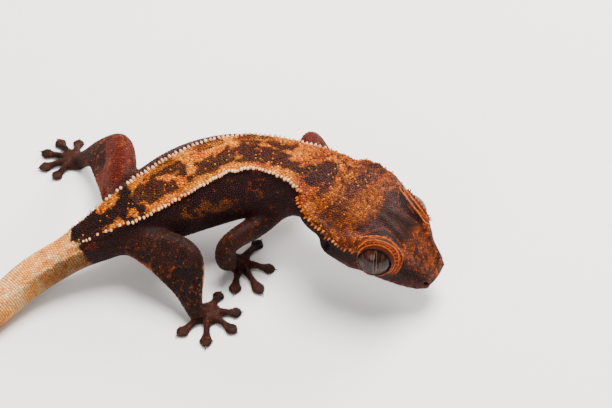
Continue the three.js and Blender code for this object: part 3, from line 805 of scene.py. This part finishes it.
def strokes(table, where, wobble, soft):
    """How deep each point lies in any of a table's strokes, from 0 to 1."""
    depth = np.zeros(len(wobble))
    for half, places in table:
        t = np.array([p[0] for p in places])
        v = rows_at(STATIONS, t)
        lateral = np.array([p[1] for p in places]) * v[:, 3] * np.radians(90 - v[:, 8])
        for k in range(len(places) - 1):
            at = np.array([t[k], lateral[k]])
            span = np.array([t[k + 1], lateral[k + 1]]) - at
            x, y = where["t"] - at[0], where["lateral"] - at[1]
            h = np.clip((x * span[0] + y * span[1]) / (span @ span), 0, 1)
            d = np.hypot(x - h * span[0], y - h * span[1]) / 1.32 + wobble
            depth = np.maximum(depth, ease(d, half + soft, half - soft))
    return depth


def eye_round(points, hand):
    """Distance from an eye's line of sight, height above the eye's middle and depth along the line."""
    centre, look, fore, high = eye_axes(hand)
    q = points - centre
    return np.hypot(q @ fore, q @ high), np.degrees(np.arctan2(q @ high, q @ fore)), q @ look


def markings(points, where):
    """The colour of the skin and of the scales at each point."""
    t, across, angle = where["t"], where["across"], where["angle"]
    away = np.abs(across)
    grain = noise(points, 0.3, 1, 2)
    fine = noise(points, 0.17, 2)
    patch = noise(points, 1.3, 3, 3)
    broad = noise(points, 2.6, 4, 2)
    wobble = 0.44 * noise(points, 0.9, 5, 2) + 0.26 * noise(points, 0.45, 10) + 0.16 * grain

    back = mix(GOLD, AMBER, ease(patch, -0.15, 0.45))
    back = mix(back, ORANGE, 0.45 * ease(broad, 0.05, 0.5))
    back = mix(back, UMBER, (0.45 + 0.35 * ease(t, 15, 13)) * ease(grain + 0.2 * ease(t, 15, 13), 0.12, 0.5))
    back = mix(back * [1.25, 1.15, 0.95], back * [0.8, 0.6, 0.36], ease(t + wobble, 16.8, 14.4))
    dark = mix(BROWN, MAROON, ease(fine, -0.4, 0.4))
    dark = mix(dark, RUST, 0.55 * ease(grain, 0.3, 0.65))
    # The dark breaks up before it reaches the crest, which keeps a golden edge
    edging = ease(away + 0.25 * wobble, 0.6, 0.8) * ease(t, 12.4, 13.4) * ease(across, -1.0, -0.6)
    blotch = strokes(DARK_STROKES, where, wobble, 0.14)
    back = mix(back, dark, 0.95 * blotch * (1 - 0.85 * edging))
    # The head is redder and mottled, the crown nearly black with a painted highlight along its ridges, and
    # the top of the snout tan
    crown = mix(shade(146, 88, 38), shade(206, 128, 50), ease(fine, -0.4, 0.5))
    crown = mix(crown, BROWN, 0.8 * ease(noise(points, 0.4, 6, 2) + 0.3 * patch, -0.05, 0.4))
    head = ease(t + wobble, 12.2, 10.6) * (1 - 0.6 * blotch)
    back = mix(back, crown, 0.85 * head)
    shifted = t + 1.2 * wobble
    black = ease(shifted, 3.5, 4.4) * ease(shifted, 8.2, 7.3) * ease(away + 0.3 * wobble, 0.75, 0.5)
    back = mix(back, mix(shade(70, 34, 34), shade(112, 58, 44), 0.7 * ease(grain, 0.2, 0.6)), 0.94 * black)
    # Painted highlight: a pale mauve streak along the crown's ridges stands in for their gloss
    crown_ridge_highlight = np.abs(away - np.interp(t, [3.8, 5.2, 6.6, 7.6], [0.42, 0.36, 0.25, 0.3]) + 0.1 * wobble)
    crown_ridge_highlight = ease(crown_ridge_highlight, 0.14, 0.05) * ease(t, 3.9, 4.5) * ease(t, 7.8, 7.1)
    back = mix(back, shade(132, 90, 92), 0.45 * crown_ridge_highlight)
    snout = ease(t, 3.9, 2.8)
    tan = mix(shade(166, 100, 54), shade(84, 42, 28), ease(grain + 0.4 * patch, -0.2, 0.25))
    back = mix(back, tan, 0.85 * snout)
    # The sacrum is dark
    sacrum = ease(t + 0.8 * wobble, 29.2, 29.8)
    back = mix(back, mix(dark * 0.6, UMBER * 0.8, 0.3 * ease(patch, 0.1, 0.6)), sacrum)
    gold = strokes(GOLD_STROKES, where, wobble, 0.14) * (1 - 0.75 * ease(t, 14, 12))
    back = mix(back, mix(AMBER, GOLD, ease(fine, -0.3, 0.3)), gold)

    flank = mix(MAROON, BROWN, ease(patch, -0.4, 0.4)) * 0.8
    flank = mix(flank, shade(104, 50, 32), 0.5 * ease(across, -0.9, -1.6))
    olive = strokes(OLIVE_STROKES, where, wobble * 1.3, 0.25) * ease(grain, -0.4, 0.3)
    flank = mix(flank, OLIVE, 0.8 * olive)
    flank = mix(flank, RUST, 0.5 * ease(grain + 0.4 * patch, 0.38, 0.66))
    under = ease(np.abs(angle - 90), 128, 158)
    flank = mix(flank, mix(BELLY, UMBER, 0.7 * ease(grain + patch, 0.0, 0.6)), under * ease(t, 7.5, 9.5))
    colour = mix(back, flank, ease(away + 0.12 * wobble, 1.02, 1.14) * ease(t, 6.0, 8.0))

    # The side of the head: mauve before the eye, painted shade under the crest, pinkish lips, a pale throat
    b, up = where["behind"], where["up"]
    mouth_up = np.interp(b, [row[0] for row in MOUTH_LINE], [row[1] for row in MOUTH_LINE])
    on_head = ease(t, 10.6, 9.6)
    low = ease(away + 0.15 * wobble + 0.45 * ease(t, 5.0, 4.0), 1.0, 1.25)
    cheek = mix(PLUM * 0.8, MAUVE * 0.7, ease(grain + 0.5 * patch, -0.1, 0.5))
    cheek = mix(cheek, RUST, 0.4 * ease(noise(points, 0.4, 7), 0.3, 0.6))
    # Painted shade cast by the crest darkens the side of the head behind the eye
    cheek = mix(cheek, MAROON * 0.5, 0.95 * ease(b + wobble, 6.8, 7.8) * ease(up + wobble, -2.2, -1.2))
    colour = mix(colour, cheek, on_head * low)
    lips = on_head * low * ease(np.abs(up - mouth_up - 0.12), 0.5, 0.32) * ease(b, 8.0, 6.4)
    colour = mix(colour, mix(shade(168, 112, 104), shade(118, 72, 68), ease(fine, -0.3, 0.3)), 0.75 * lips)
    throat = on_head * ease(up - mouth_up, -0.65, -1.1)
    colour = mix(colour, mix(BELLY, shade(190, 150, 122), ease(grain, -0.3, 0.3)), 0.85 * throat)
    nostril = np.minimum(*(np.linalg.norm(points - nostril_place(hand), axis=1) for hand in (1, -1)))
    colour = mix(colour, shade(176, 118, 96), 0.5 * ease(nostril, 0.55, 0.4) * on_head)
    # Painted shade darkens each nostril's pit
    colour = mix(colour, shade(24, 12, 12), ease(nostril, 0.27, 0.18))

    # Orange folds over each eye, with painted shade in the creases between them and where the lids meet the
    # eyeball
    for hand in (1, -1):
        rho, turn, deep = eye_round(points, hand)
        # Orange on each fold, and painted shade in the creases between the folds
        ring = np.cos((rho - FOLDS[0]) / (FOLDS[1] - FOLDS[0]) * 2 * np.pi)
        fold_and_crease_shade = mix(shade(60, 26, 18), shade(214, 126, 54), ease(ring + 0.3 * grain, 0.0, 0.8))
        over = ease(rho, 2.3, 2.1) * ease(deep, -0.9, -0.3) * ease(np.abs(turn - 88), 112, 88)
        colour = mix(colour, fold_and_crease_shade, 0.9 * over)
        rim = ease(rho, 1.62, 1.56) * ease(deep, 0.3, 0.6)
        colour = mix(colour, mix(shade(206, 150, 130), shade(150, 84, 60), ease(turn, 0, 40)), 0.8 * rim)
        # Painted shade where the lids meet the eyeball
        colour = mix(colour, shade(60, 30, 24), ease(rho, 1.39, 1.34) * ease(deep, 1.9, 1.5))

    # The tail is cream with fine rings and a brown underside
    cream = mix(PEACH, CREAM, ease(patch + 0.4 * fine, -0.3, 0.5))
    cream = mix(cream, shade(214, 146, 94), 0.5 * ease(noise(points, 0.5, 8, 2), 0.1, 0.5))
    cream = mix(cream, BROWN, 0.8 * ease(away + 0.7 * wobble, 2.0, 2.5) * ease(t, 46, 38))
    cream = mix(cream, UMBER, 0.45 * ease(broad + 0.4 * patch, 0.25, 0.45) * ease(t, 42, 46))
    on_tail = ease(t + 0.5 * wobble - 0.5 * ease(away, 1.2, 0), 35.2, 35.6)
    colour = mix(colour, cream * [1.22, 1.12, 1.0], on_tail)

    # Legs are brown with orange and tan specks, redder on the animal's left
    limb, s = where["limb"], where["along_limb"]
    leg = mix(shade(92, 48, 32), shade(60, 30, 24), ease(patch, -0.3, 0.4))
    leg = mix(leg, shade(150, 66, 34), 0.7 * np.isin(limb, (1, 3)))
    spots = noise(points, 0.22, 9, 2) + 0.3 * patch
    bright = mix(shade(192, 128, 66), shade(160, 90, 46), ease(fine, -0.4, 0.4))
    leg = mix(leg, bright, (0.45 + 0.35 * (limb == 1)) * ease(spots, 0.1, 0.5))
    leg = mix(leg, shade(58, 28, 22), 0.75 * ease(s + wobble, 7.4, 8.6) * ease(spots, 0.5, 0.1))
    # A pale fold runs down the right shank's front edge and an orange one under the thigh
    q = unit(points - limb_rows[where["near"], :3])
    pale_edge = ease(q[:, 0] + 0.1 * grain, 0.9, 0.96) * ease(s, 7.2, 7.8) * ease(s, 11.6, 10.6)
    leg = mix(leg, shade(226, 186, 148), 0.85 * (limb == 0) * pale_edge)
    orange_edge = ease(q @ [-0.43, -0.74, -0.52] + 0.04 * grain, 0.95, 0.99)
    orange_edge = orange_edge * ease(s, 1.2, 2.0) * ease(s, 7.6, 6.6)
    leg = mix(leg, shade(206, 128, 66), 0.65 * (limb == 0) * orange_edge)
    foot = mix(shade(104, 62, 46), shade(66, 36, 28), ease(patch + 0.5 * grain, -0.2, 0.3))
    foot = mix(foot, shade(170, 112, 70), 0.5 * ease(grain, 0.25, 0.6))
    leg = mix(leg, foot, np.maximum(ease(s, 12.2, 13.2), where["toe"]))
    colour = mix(colour, leg, ease(where["beyond"], 0, 0.5) * (limb >= 0))
    return colour


# The skin's own map, in which each scale has its patch
SHEET = np.array([52.0, 54.0])
EDGE = 0.5
TAIL_FROM = 33.5
BODY_ROUND, TAIL_ROUND, TAIL_ROW = 24, 10, 26
LEG_COLUMN, LEG_STEP, LEG_ROUND, LEG_ROW_STEP = 35, 8.5, 7.5, 16.5
FOOT_HALF, FOOT_STEP, FOOT_ROW, FOOT_SIDE_STEP = 4.2, 9, 36.3, 8.8


def sheet_place(points, where):
    """Body, legs and feet laid out flat beside each other, as shares of the whole sheet."""
    turn = (where["angle"] + 90) / 360
    fore = where["t"] < TAIL_FROM
    x = np.where(fore, EDGE + where["t"], EDGE + where["t"] - TAIL_FROM)
    y = np.where(fore, EDGE + turn * BODY_ROUND, TAIL_ROW + turn * TAIL_ROUND)
    for index, name in enumerate(LIMBS):
        on = where["limb"] == index
        q = points[on] - limb_rows[where["near"][on], :3]
        round_leg = np.arctan2(q[:, 2], q[:, 0] + q[:, 1]) / (2 * np.pi) + 0.5
        leg_x = LEG_COLUMN + LEG_STEP * (index % 2) + round_leg * LEG_ROUND
        leg_y = EDGE + LEG_ROW_STEP * (index // 2) + where["along_limb"][on]
        foot = np.array(FEET[name][0])
        flat = np.clip(points[on][:, :2] - foot, -FOOT_HALF, FOOT_HALF) + FOOT_HALF + 0.05
        toe, upper = where["toe"][on], q[:, 2] > 0
        x[on] = np.where(toe, EDGE + FOOT_STEP * index + flat[:, 0], leg_x)
        y[on] = np.where(toe, FOOT_ROW + FOOT_SIDE_STEP * upper + flat[:, 1], leg_y)
    return np.column_stack([x, y]) / SHEET


# Materials
def marked_material(name, roughness, grain_scale, bump, **values):
    """A material that takes its colour from the markings, with fine grain in its gloss and relief."""
    material, tree, shader = principled(name, **values)
    link = tree.links.new

    def node(kind, **settings):
        made = tree.nodes.new(f"ShaderNode{kind}")
        set_inputs(made, settings)
        return made

    mark = node("Attribute")
    mark.attribute_name = "mark"
    place = node("TexCoord")
    grain = node("TexNoise", Scale=grain_scale, Detail=3.0)
    tint = node("MapRange", To_Min=0.8, To_Max=1.2)
    scaled = node("VectorMath")
    scaled.operation = "SCALE"
    gloss = node("MapRange", To_Min=roughness[0], To_Max=roughness[1])
    relief = node("Bump", Strength=0.5, Distance=bump)
    link(place.outputs["Object"], grain.inputs["Vector"])
    link(grain.outputs["Fac"], tint.inputs["Value"])
    link(mark.outputs["Color"], scaled.inputs[0])
    link(tint.outputs["Result"], scaled.inputs["Scale"])
    link(scaled.outputs["Vector"], shader.inputs["Base Color"])
    link(grain.outputs["Fac"], gloss.inputs["Value"])
    link(gloss.outputs["Result"], shader.inputs["Roughness"])
    link(grain.outputs["Fac"], relief.inputs["Height"])
    link(relief.outputs["Normal"], shader.inputs["Normal"])
    return material


skin_material = marked_material(
    "skin", (0.5, 0.7), grain_scale=9000, bump=0.00003, Specular_IOR_Level=0.12
)
scale_material = marked_material(
    "scales", (0.34, 0.55), grain_scale=14000, bump=0.00001, Specular_IOR_Level=0.15
)
crest_material = marked_material(
    "crest", (0.35, 0.55), grain_scale=9000, bump=0.00001, Specular_IOR_Level=0.3
)
claw_material = marked_material(
    "claw", (0.2, 0.4), grain_scale=12000, bump=0.000005, Specular_IOR_Level=0.5
)
eye_material = marked_material(
    "eye", (0.3, 0.4), grain_scale=20000, bump=0.0, Specular_IOR_Level=0.05, Coat_Weight=0.3,
    Coat_Roughness=0.02,
)

# The skin piece
skin_where = locate(skin_points)
# Between the scales the skin is half as bright as they are: painted shade in the gaps
skin_colours = markings(skin_points, skin_where) * 0.5
skin = mesh_object("skin", skin_points, skin_quads, skin_material, skin_colours)
flesh = [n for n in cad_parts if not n.startswith("eye")]
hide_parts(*flesh)
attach(skin, "root")

# Scales
PATCH = 0.0015
MOST_TRIANGLES = 195000


def stamps(name, roots, normals, ways, radii, heights, profile, colours, painted_shade_and_highlight, sides=6,
           material=scale_material, lean=0.0):
    """Many like forms in joined meshes: rings of (radius, height) shares that end in a tip. Each ring's
    colour is scaled by its own factor: painted shade at the root, a painted highlight towards the tip.
    """
    sheet = sheet_place(roots, locate(roots))
    ways = unit(ways - normals * (ways * normals).sum(1)[:, None])
    cross = np.cross(normals, ways)
    rings = np.array(profile[:-1])
    turn = np.arange(sides) * 2 * np.pi / sides
    local = [(r * math.cos(a), r * math.sin(a), h) for r, h in rings for a in turn] + [(0, 0, profile[-1][1])]
    local = np.array(local)
    # Painted shade darkens each form's lowest ring and a painted highlight brightens its tip
    tint = np.repeat(painted_shade_and_highlight, [sides] * len(rings) + [1])
    faces = []
    for k in range(len(rings) - 1):
        for j in range(sides):
            a, b = k * sides + j, k * sides + (j + 1) % sides
            faces += [(a, b, b + sides), (a, b + sides, a + sides)]
    top = (len(rings) - 1) * sides
    faces += [(top + j, top + (j + 1) % sides, top + sides) for j in range(sides)]
    faces = np.array(faces)
    radii, heights = np.broadcast_to(radii, len(roots)), np.broadcast_to(heights, len(roots))
    lean = np.broadcast_to(lean, len(roots))
    each = MOST_TRIANGLES // len(faces)
    count = math.ceil(len(roots) / each)
    for k in range(count):
        part = slice(k * len(roots) // count, (k + 1) * len(roots) // count)
        r, h, bend = radii[part][:, None, None], heights[part][:, None, None], lean[part][:, None, None]
        rise = np.maximum(local[:, 2], 0)[None, :, None]
        points = (
            roots[part][:, None]
            + ways[part][:, None] * (local[None, :, 0, None] * r + bend * rise**1.6)
            + cross[part][:, None] * local[None, :, 1, None] * r
            + normals[part][:, None] * local[None, :, 2, None] * h
        ).reshape(-1, 3)
        points[:, 2] = np.maximum(points[:, 2], GROUND / 2)
        size = part.stop - part.start
        all_faces = (faces[None] + np.arange(size)[:, None, None] * len(local)).reshape(-1, 3)
        colour = (colours[part][:, None] * tint[None, :, None]).reshape(-1, 3)
        uvs = (sheet[part][:, None] + local[None, :, :2] * PATCH).reshape(-1, 2)
        label = name if count == 1 else f"{name}_{k + 1}"
        obj = mesh_object(label, points, all_faces, material, np.clip(colour, 0, 1), uvs)
        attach(obj, "root")


def tree_of(points):
    tree = KDTree(len(points))
    for i, p in enumerate(points):
        tree.insert(p, i)
    tree.balance()
    return tree


def columns(rows):
    """An array for each column of a table of values and vectors."""
    return [np.array(column) for column in zip(*rows)]


skin_tree = tree_of(skin_points)


def settle(points):
    """Moves points onto the skin and gives the skin's normals there."""
    found = np.array([skin_tree.find(p)[1] for p in points])
    n = normals[found]
    return points - n * ((points - skin_points[found]) * n).sum(1)[:, None], n


CANDIDATES = 950000
quad_points = skin_points[skin_quads]
diagonals = quad_points[:, 2:] - quad_points[:, :2]
total = np.cumsum(np.linalg.norm(np.cross(diagonals[:, 0], diagonals[:, 1]), axis=1))
quad = np.searchsorted(total, rng.random(CANDIDATES) * total[-1])
u, v = rng.random((2, CANDIDATES, 1))
weights = [(1 - u) * (1 - v), u * (1 - v), u * v, (1 - u) * v]
seeds = sum(w * skin_points[skin_quads[quad, k]] for k, w in enumerate(weights))
seed_normals = unit(sum(w * normals[skin_quads[quad, k]] for k, w in enumerate(weights)))
seed_where = chosen(skin_where, skin_quads[quad, 0])
away = np.abs(seed_where["across"])
on_limb = seed_where["limb"] >= 0
# Each place's own spacing, the later ones going before the earlier ones
SPACING = dict(flank=0.16, back=0.163, belly=0.2, head=0.135, snout=0.13, limb=0.155, toe=0.14)
spacing = np.full(CANDIDATES, SPACING["flank"])
for place, there in (
    ("back", away < 1.05),
    ("belly", np.abs(seed_where["angle"] - 90) > 140),
    ("head", seed_where["t"] < 9.5),
    ("snout", seed_where["t"] < 2.2),
    ("limb", on_limb),
    ("toe", on_limb & seed_where["toe"]),
):
    spacing[there] = SPACING[place]
RINGS_FROM = 36.0
CLEAR_FLOOR, CLEAR_NOSTRIL, CLEAR_MOUTH = 0.05, 0.24, 0.14
usable = (seed_where["t"] < RINGS_FROM) | on_limb
usable &= seeds[:, 2] > GROUND + CLEAR_FLOOR
for hand in HANDS.values():
    rho, turn, deep = eye_round(seeds, hand)
    usable &= ~((rho < 1.5) & (deep > -2))
    usable &= ~((rho < FOLDS[-1] + 0.02) & (deep > -0.6) & (np.abs(turn - 90) < 96))
    usable &= np.linalg.norm(seeds - nostril_place(hand), axis=1) > CLEAR_NOSTRIL
mouth_line = np.array(mouth)
mouth_line = np.concatenate([mouth_line, (mouth_line[1:] + mouth_line[:-1]) / 2])
usable &= nearest(seeds, mouth_line, 0)[1] > CLEAR_MOUTH
seeds, seed_normals, spacing = seeds[usable], seed_normals[usable], spacing[usable]
tree = tree_of(seeds)
free = np.ones(len(seeds), bool)
kept = []
for i in range(len(seeds)):
    if free[i]:
        kept.append(i)
        for _, j, _ in tree.find_range(seeds[i], spacing[i]):
            free[j] = False
kept = np.array(kept)
roots, root_normals, spacing = seeds[kept], seed_normals[kept], spacing[kept]
where = locate(roots)
order = np.lexsort((where["t"], where["limb"] >= 0))
roots, root_normals, spacing, where = roots[order], root_normals[order], spacing[order], chosen(where, order)
colour = markings(roots, where)
count = len(roots)
on_back = (np.abs(where["across"]) < 1.1) & (where["limb"] < 0)
# On the back some scales are dark and a few are golden, and all vary in brightness
DARK_SHARE, DARK_LIGHT, GOLD_SHARE = 0.24, 0.34, 0.05
colour = colour * np.exp((0.22 + 0.26 * on_back) * rng.standard_normal(count).clip(-2, 1.6))[:, None]
colour = colour * np.where(on_back & (rng.random(count) < DARK_SHARE), DARK_LIGHT, 1)[:, None]
golden = (rng.random(count) < GOLD_SHARE) & on_back & (where["t"] > 9)
colour = mix(colour, GOLD, 0.6 * golden)
raised = np.where(on_back, 0.6, 0.45)
raised = np.where(where["t"] < 8, 0.4, raised)
DOME = [(1.0, -0.25), (0.74, 0.62), (0, 1.0)]
scale_ways = rng.standard_normal((count, 3))
scale_radii = spacing * 0.53 * rng.uniform(0.85, 1.15, count)
# The scales' rings carry painted shade at the root and a painted highlight at the top
stamps(
    "scales", roots, root_normals, scale_ways, scale_radii, spacing * raised, DOME, colour,
    painted_shade_and_highlight=[0.34, 1.0, 1.2],
)

# Scales in rings round the tail
RING, TAIL_SCALE = 0.205, dict(wide=0.21, radius=0.118, height=0.075)
ring_t, ring_angle = [], []
for k, t in enumerate(np.arange(RINGS_FROM, TAIL_END - 0.1, RING)):
    v = rows_at(STATIONS, t)[0]
    around = max(8, round(2 * np.pi * (v[3] + v[4]) / 2 / TAIL_SCALE["wide"]))
    ring_t.append(np.full(around, t) + rng.normal(0, 0.012, around))
    ring_angle.append((np.arange(around) + 0.5 * (k % 2) + rng.normal(0, 0.06, around)) * 360 / around - 90)
ring_t, ring_angle = np.concatenate(ring_t), np.concatenate(ring_angle)
ring_way = body_frames(ring_t)[1]
roots, root_normals = settle(body_points(ring_t, ring_angle))
clear = roots[:, 2] > GROUND + 0.04
roots, root_normals, ring_way = roots[clear], root_normals[clear], ring_way[clear]
where = locate(roots)
colour = markings(roots, where) * (1 + 0.13 * rng.standard_normal(len(roots)))[:, None]
stamps(
    "tail_scales", roots, root_normals, ring_way, TAIL_SCALE["radius"], TAIL_SCALE["height"], DOME,
    colour, painted_shade_and_highlight=[0.62, 1.0, 1.08], lean=0.03,
)

# The crest: a row of pale beads down each side, pointed and orange from the neck forwards
SPINE = [(1.0, -0.35), (0.98, 0.22), (0.62, 0.68), (0, 1.0)]
TRUNK_FROM, SPARSE_FROM, BEADS_END = 13, 29.5, 38.5
TRUNK_BEAD = dict(pitch=0.335, inward=1, stray=0.5, size=0.15, tall=0.27)
NECK_BEAD = dict(pitch=0.3, inward=4, stray=2, size=0.12, tall=0.34)
beads = []
for hand in HANDS.values():
    t = CREST_FROM + 0.7
    while t < BEADS_END:
        bead = TRUNK_BEAD if t > TRUNK_FROM else NECK_BEAD
        fade = 1 - 0.55 * ease(t, 31, 38)
        pitch = bead["pitch"] * rng.uniform(0.88, 1.12)
        edge = crest_angle(t, hand)[0] - bead["inward"] + rng.normal(0, bead["stray"])
        if t < SPARSE_FROM or rng.random() < 0.75 - 0.05 * (t - SPARSE_FROM):
            here = np.array([t])
            root = body_points(here, np.array([edge if hand > 0 else 180 - edge]))[0]
            way = body_frames(here)[2][0] * hand - FORWARD * 0.2
            size = bead["size"] * fade * rng.uniform(0.82, 1.15)
            tall = bead["tall"] * fade * rng.uniform(0.8, 1.2)
            beads.append((root, way, size, tall, t))
        t += pitch
crest_roots, crest_ways, crest_size, crest_tall, crest_t = columns(beads)
crest_roots, crest_normals = settle(crest_roots)
count = len(crest_roots)
pale = mix(CREAM, shade(238, 190, 160), rng.random(count))
pale = mix(pale, shade(226, 150, 96), 0.6 * (rng.random(count) < 0.2))
front = mix(shade(240, 166, 88), shade(196, 108, 50), rng.random(count))
colour = mix(front, pale, ease(crest_t, 13.2, 15.2))
upright = unit(crest_normals + unit(crest_ways) * 0.45)
stamps(
    "crest", crest_roots, upright, crest_ways, crest_size, crest_tall, SPINE, colour,
    painted_shade_and_highlight=[0.6, 0.95, 1.04, 1.08], sides=8, material=crest_material, lean=0.06,
)

# Lids: beaded folds over the eyes, and the lashes
BEAD_PITCH, FIRST_TURN, LAST_TURN = 0.105, -4, 184
LASH_COUNT, LASH_FROM, LASH_TO, LASH_RADIUS = 12, 28, 152, 0.1
lids, lashes = [], []
for hand in HANDS.values():
    centre, look, fore, high = eye_axes(hand)
    for k, rho in enumerate(FOLDS):
        steps = int(rho * math.radians(LAST_TURN - FIRST_TURN) / BEAD_PITCH)
        for turn in np.radians(np.linspace(FIRST_TURN, LAST_TURN, steps)):
            spoke = spoke_of(fore, high, turn)
            root = centre + spoke * (rho + 0.03) + look * (1.06 - FOLD_STEP * k)
            size = 0.07 * rng.uniform(0.85, 1.15)
            lids.append((root, spoke, size, mix(shade(232, 150, 70), shade(190, 104, 46), rng.random())))
    for turn in np.radians(np.linspace(LASH_FROM, LASH_TO, LASH_COUNT)):
        spoke = spoke_of(fore, high, turn)
        root = centre + spoke * FOLDS[0] + look * 0.95
        way = unit(spoke * 0.75 + look * 0.7 + high * 0.2)
        lashes.append((root, way, look, rng.uniform(0.42, 0.62)))
lid_points, lid_ways, lid_size, lid_colour = columns(lids)
lid_points, lid_normals = settle(lid_points)
stamps(
    "lid_beads", lid_points, lid_normals, lid_ways, lid_size, lid_size * 1.1, DOME, lid_colour,
    painted_shade_and_highlight=[0.5, 1.0, 1.1],
)
lash_roots, lash_ways, lash_out, lash_length = columns(lashes)
LASH_FORM = [(1.0, -0.25), (0.85, 0.2), (0.6, 0.55), (0.3, 0.85), (0, 1.0)]
lash_colour = mix(shade(190, 96, 46), shade(130, 52, 30), rng.random(len(lashes)))
stamps(
    "lashes", lash_roots, lash_ways, lash_out, LASH_RADIUS, lash_length, LASH_FORM, lash_colour,
    painted_shade_and_highlight=[0.7, 0.9, 1.0, 1.05, 1.1], sides=8, material=crest_material, lean=-0.06,
)

# Claws
CLAW = [(1.0, 0.0), (0.8, 0.35), (0.45, 0.75), (0, 1.0)]
CLAW_UP, CLAW_SUNK, CLAW_RADIUS, CLAW_LENGTH = 0.27, 0.18, 0.07, 0.3
claws = []
for name in LIMBS:
    (foot_x, foot_y), _, toes = FEET[name]
    for degrees, length in toes:
        way = level_way(degrees)
        root = np.array([foot_x, foot_y, CLAW_UP]) + way * (length - CLAW_SUNK)
        claws.append((root, unit(way + UP * 0.12), -UP, shade(64, 44, 36)))
claw_roots, claw_ways, claw_down, claw_colour = columns(claws)
stamps(
    "claws", claw_roots, claw_ways, claw_down, CLAW_RADIUS, CLAW_LENGTH, CLAW, claw_colour,
    painted_shade_and_highlight=[0.8, 1.0, 1.2, 1.3], sides=8, material=claw_material, lean=0.08,
)

# Eyes
EYE_ROWS, EYE_COLUMNS, SLIT_REACH = 110, 160, 0.66
for side_name, hand in HANDS.items():
    centre, look = eye_place(hand), gaze(hand)
    # The slit pupil stays upright though the head is turned down
    high = unit(UP - look * (UP @ look))
    fore = np.cross(look, high) * hand
    polar = np.pi * np.linspace(0, 1, EYE_ROWS)[1:-1] ** 1.15
    turn = np.arange(EYE_COLUMNS) * 2 * np.pi / EYE_COLUMNS
    x = np.sin(polar)[:, None] * np.cos(turn)
    y = np.sin(polar)[:, None] * np.sin(turn)
    z = np.cos(polar)[:, None] * np.ones(EYE_COLUMNS)
    local, quads, caps = loft(np.stack([x, y, z], -1))
    tris = np.concatenate([quads[:, [0, 3, 2]], quads[:, [0, 2, 1]], caps[:, ::-1]])
    if hand < 0:
        tris = tris[:, ::-1]
    ball = centre + (local @ np.stack([fore, high, look])) * (EYE["radius"] - 0.02)
    across, tall, deep = local.T
    streak = noise(local * [13, 1.2, 0.01] + 3, 0.5, 20, 2) + 0.5 * noise(local * [26, 3, 0.01], 0.5, 21)
    iris = mix(shade(46, 28, 25), shade(118, 84, 74), ease(streak, -0.35, 0.45))
    iris = mix(iris, shade(116, 70, 52), 0.5 * ease(noise(local, 0.3, 22, 2), 0, 0.5))
    rho = np.hypot(across, tall)
    iris = mix(iris, shade(34, 22, 20), 0.85 * ease(rho, 0.72, 0.92))
    scallop = 0.055 + 0.01 * np.cos(tall * 22)
    slit = np.abs(across) - scallop * np.sqrt(np.clip(1 - (tall / SLIT_REACH) ** 2, 0, 1))
    iris = mix(iris, shade(176, 150, 134), 0.55 * ease(slit, 0.035, 0.025) * (np.abs(tall) < 0.7))
    pupil = ease(slit, 0.012, -0.004) * (np.abs(tall) < SLIT_REACH) * (deep > 0)
    iris = mix(iris, shade(10, 7, 7), pupil)
    eye = mesh_object(f"eyeball_{side_name}", ball, tris, eye_material, iris)
    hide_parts(f"eye_{side_name}")
    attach(eye, "root")
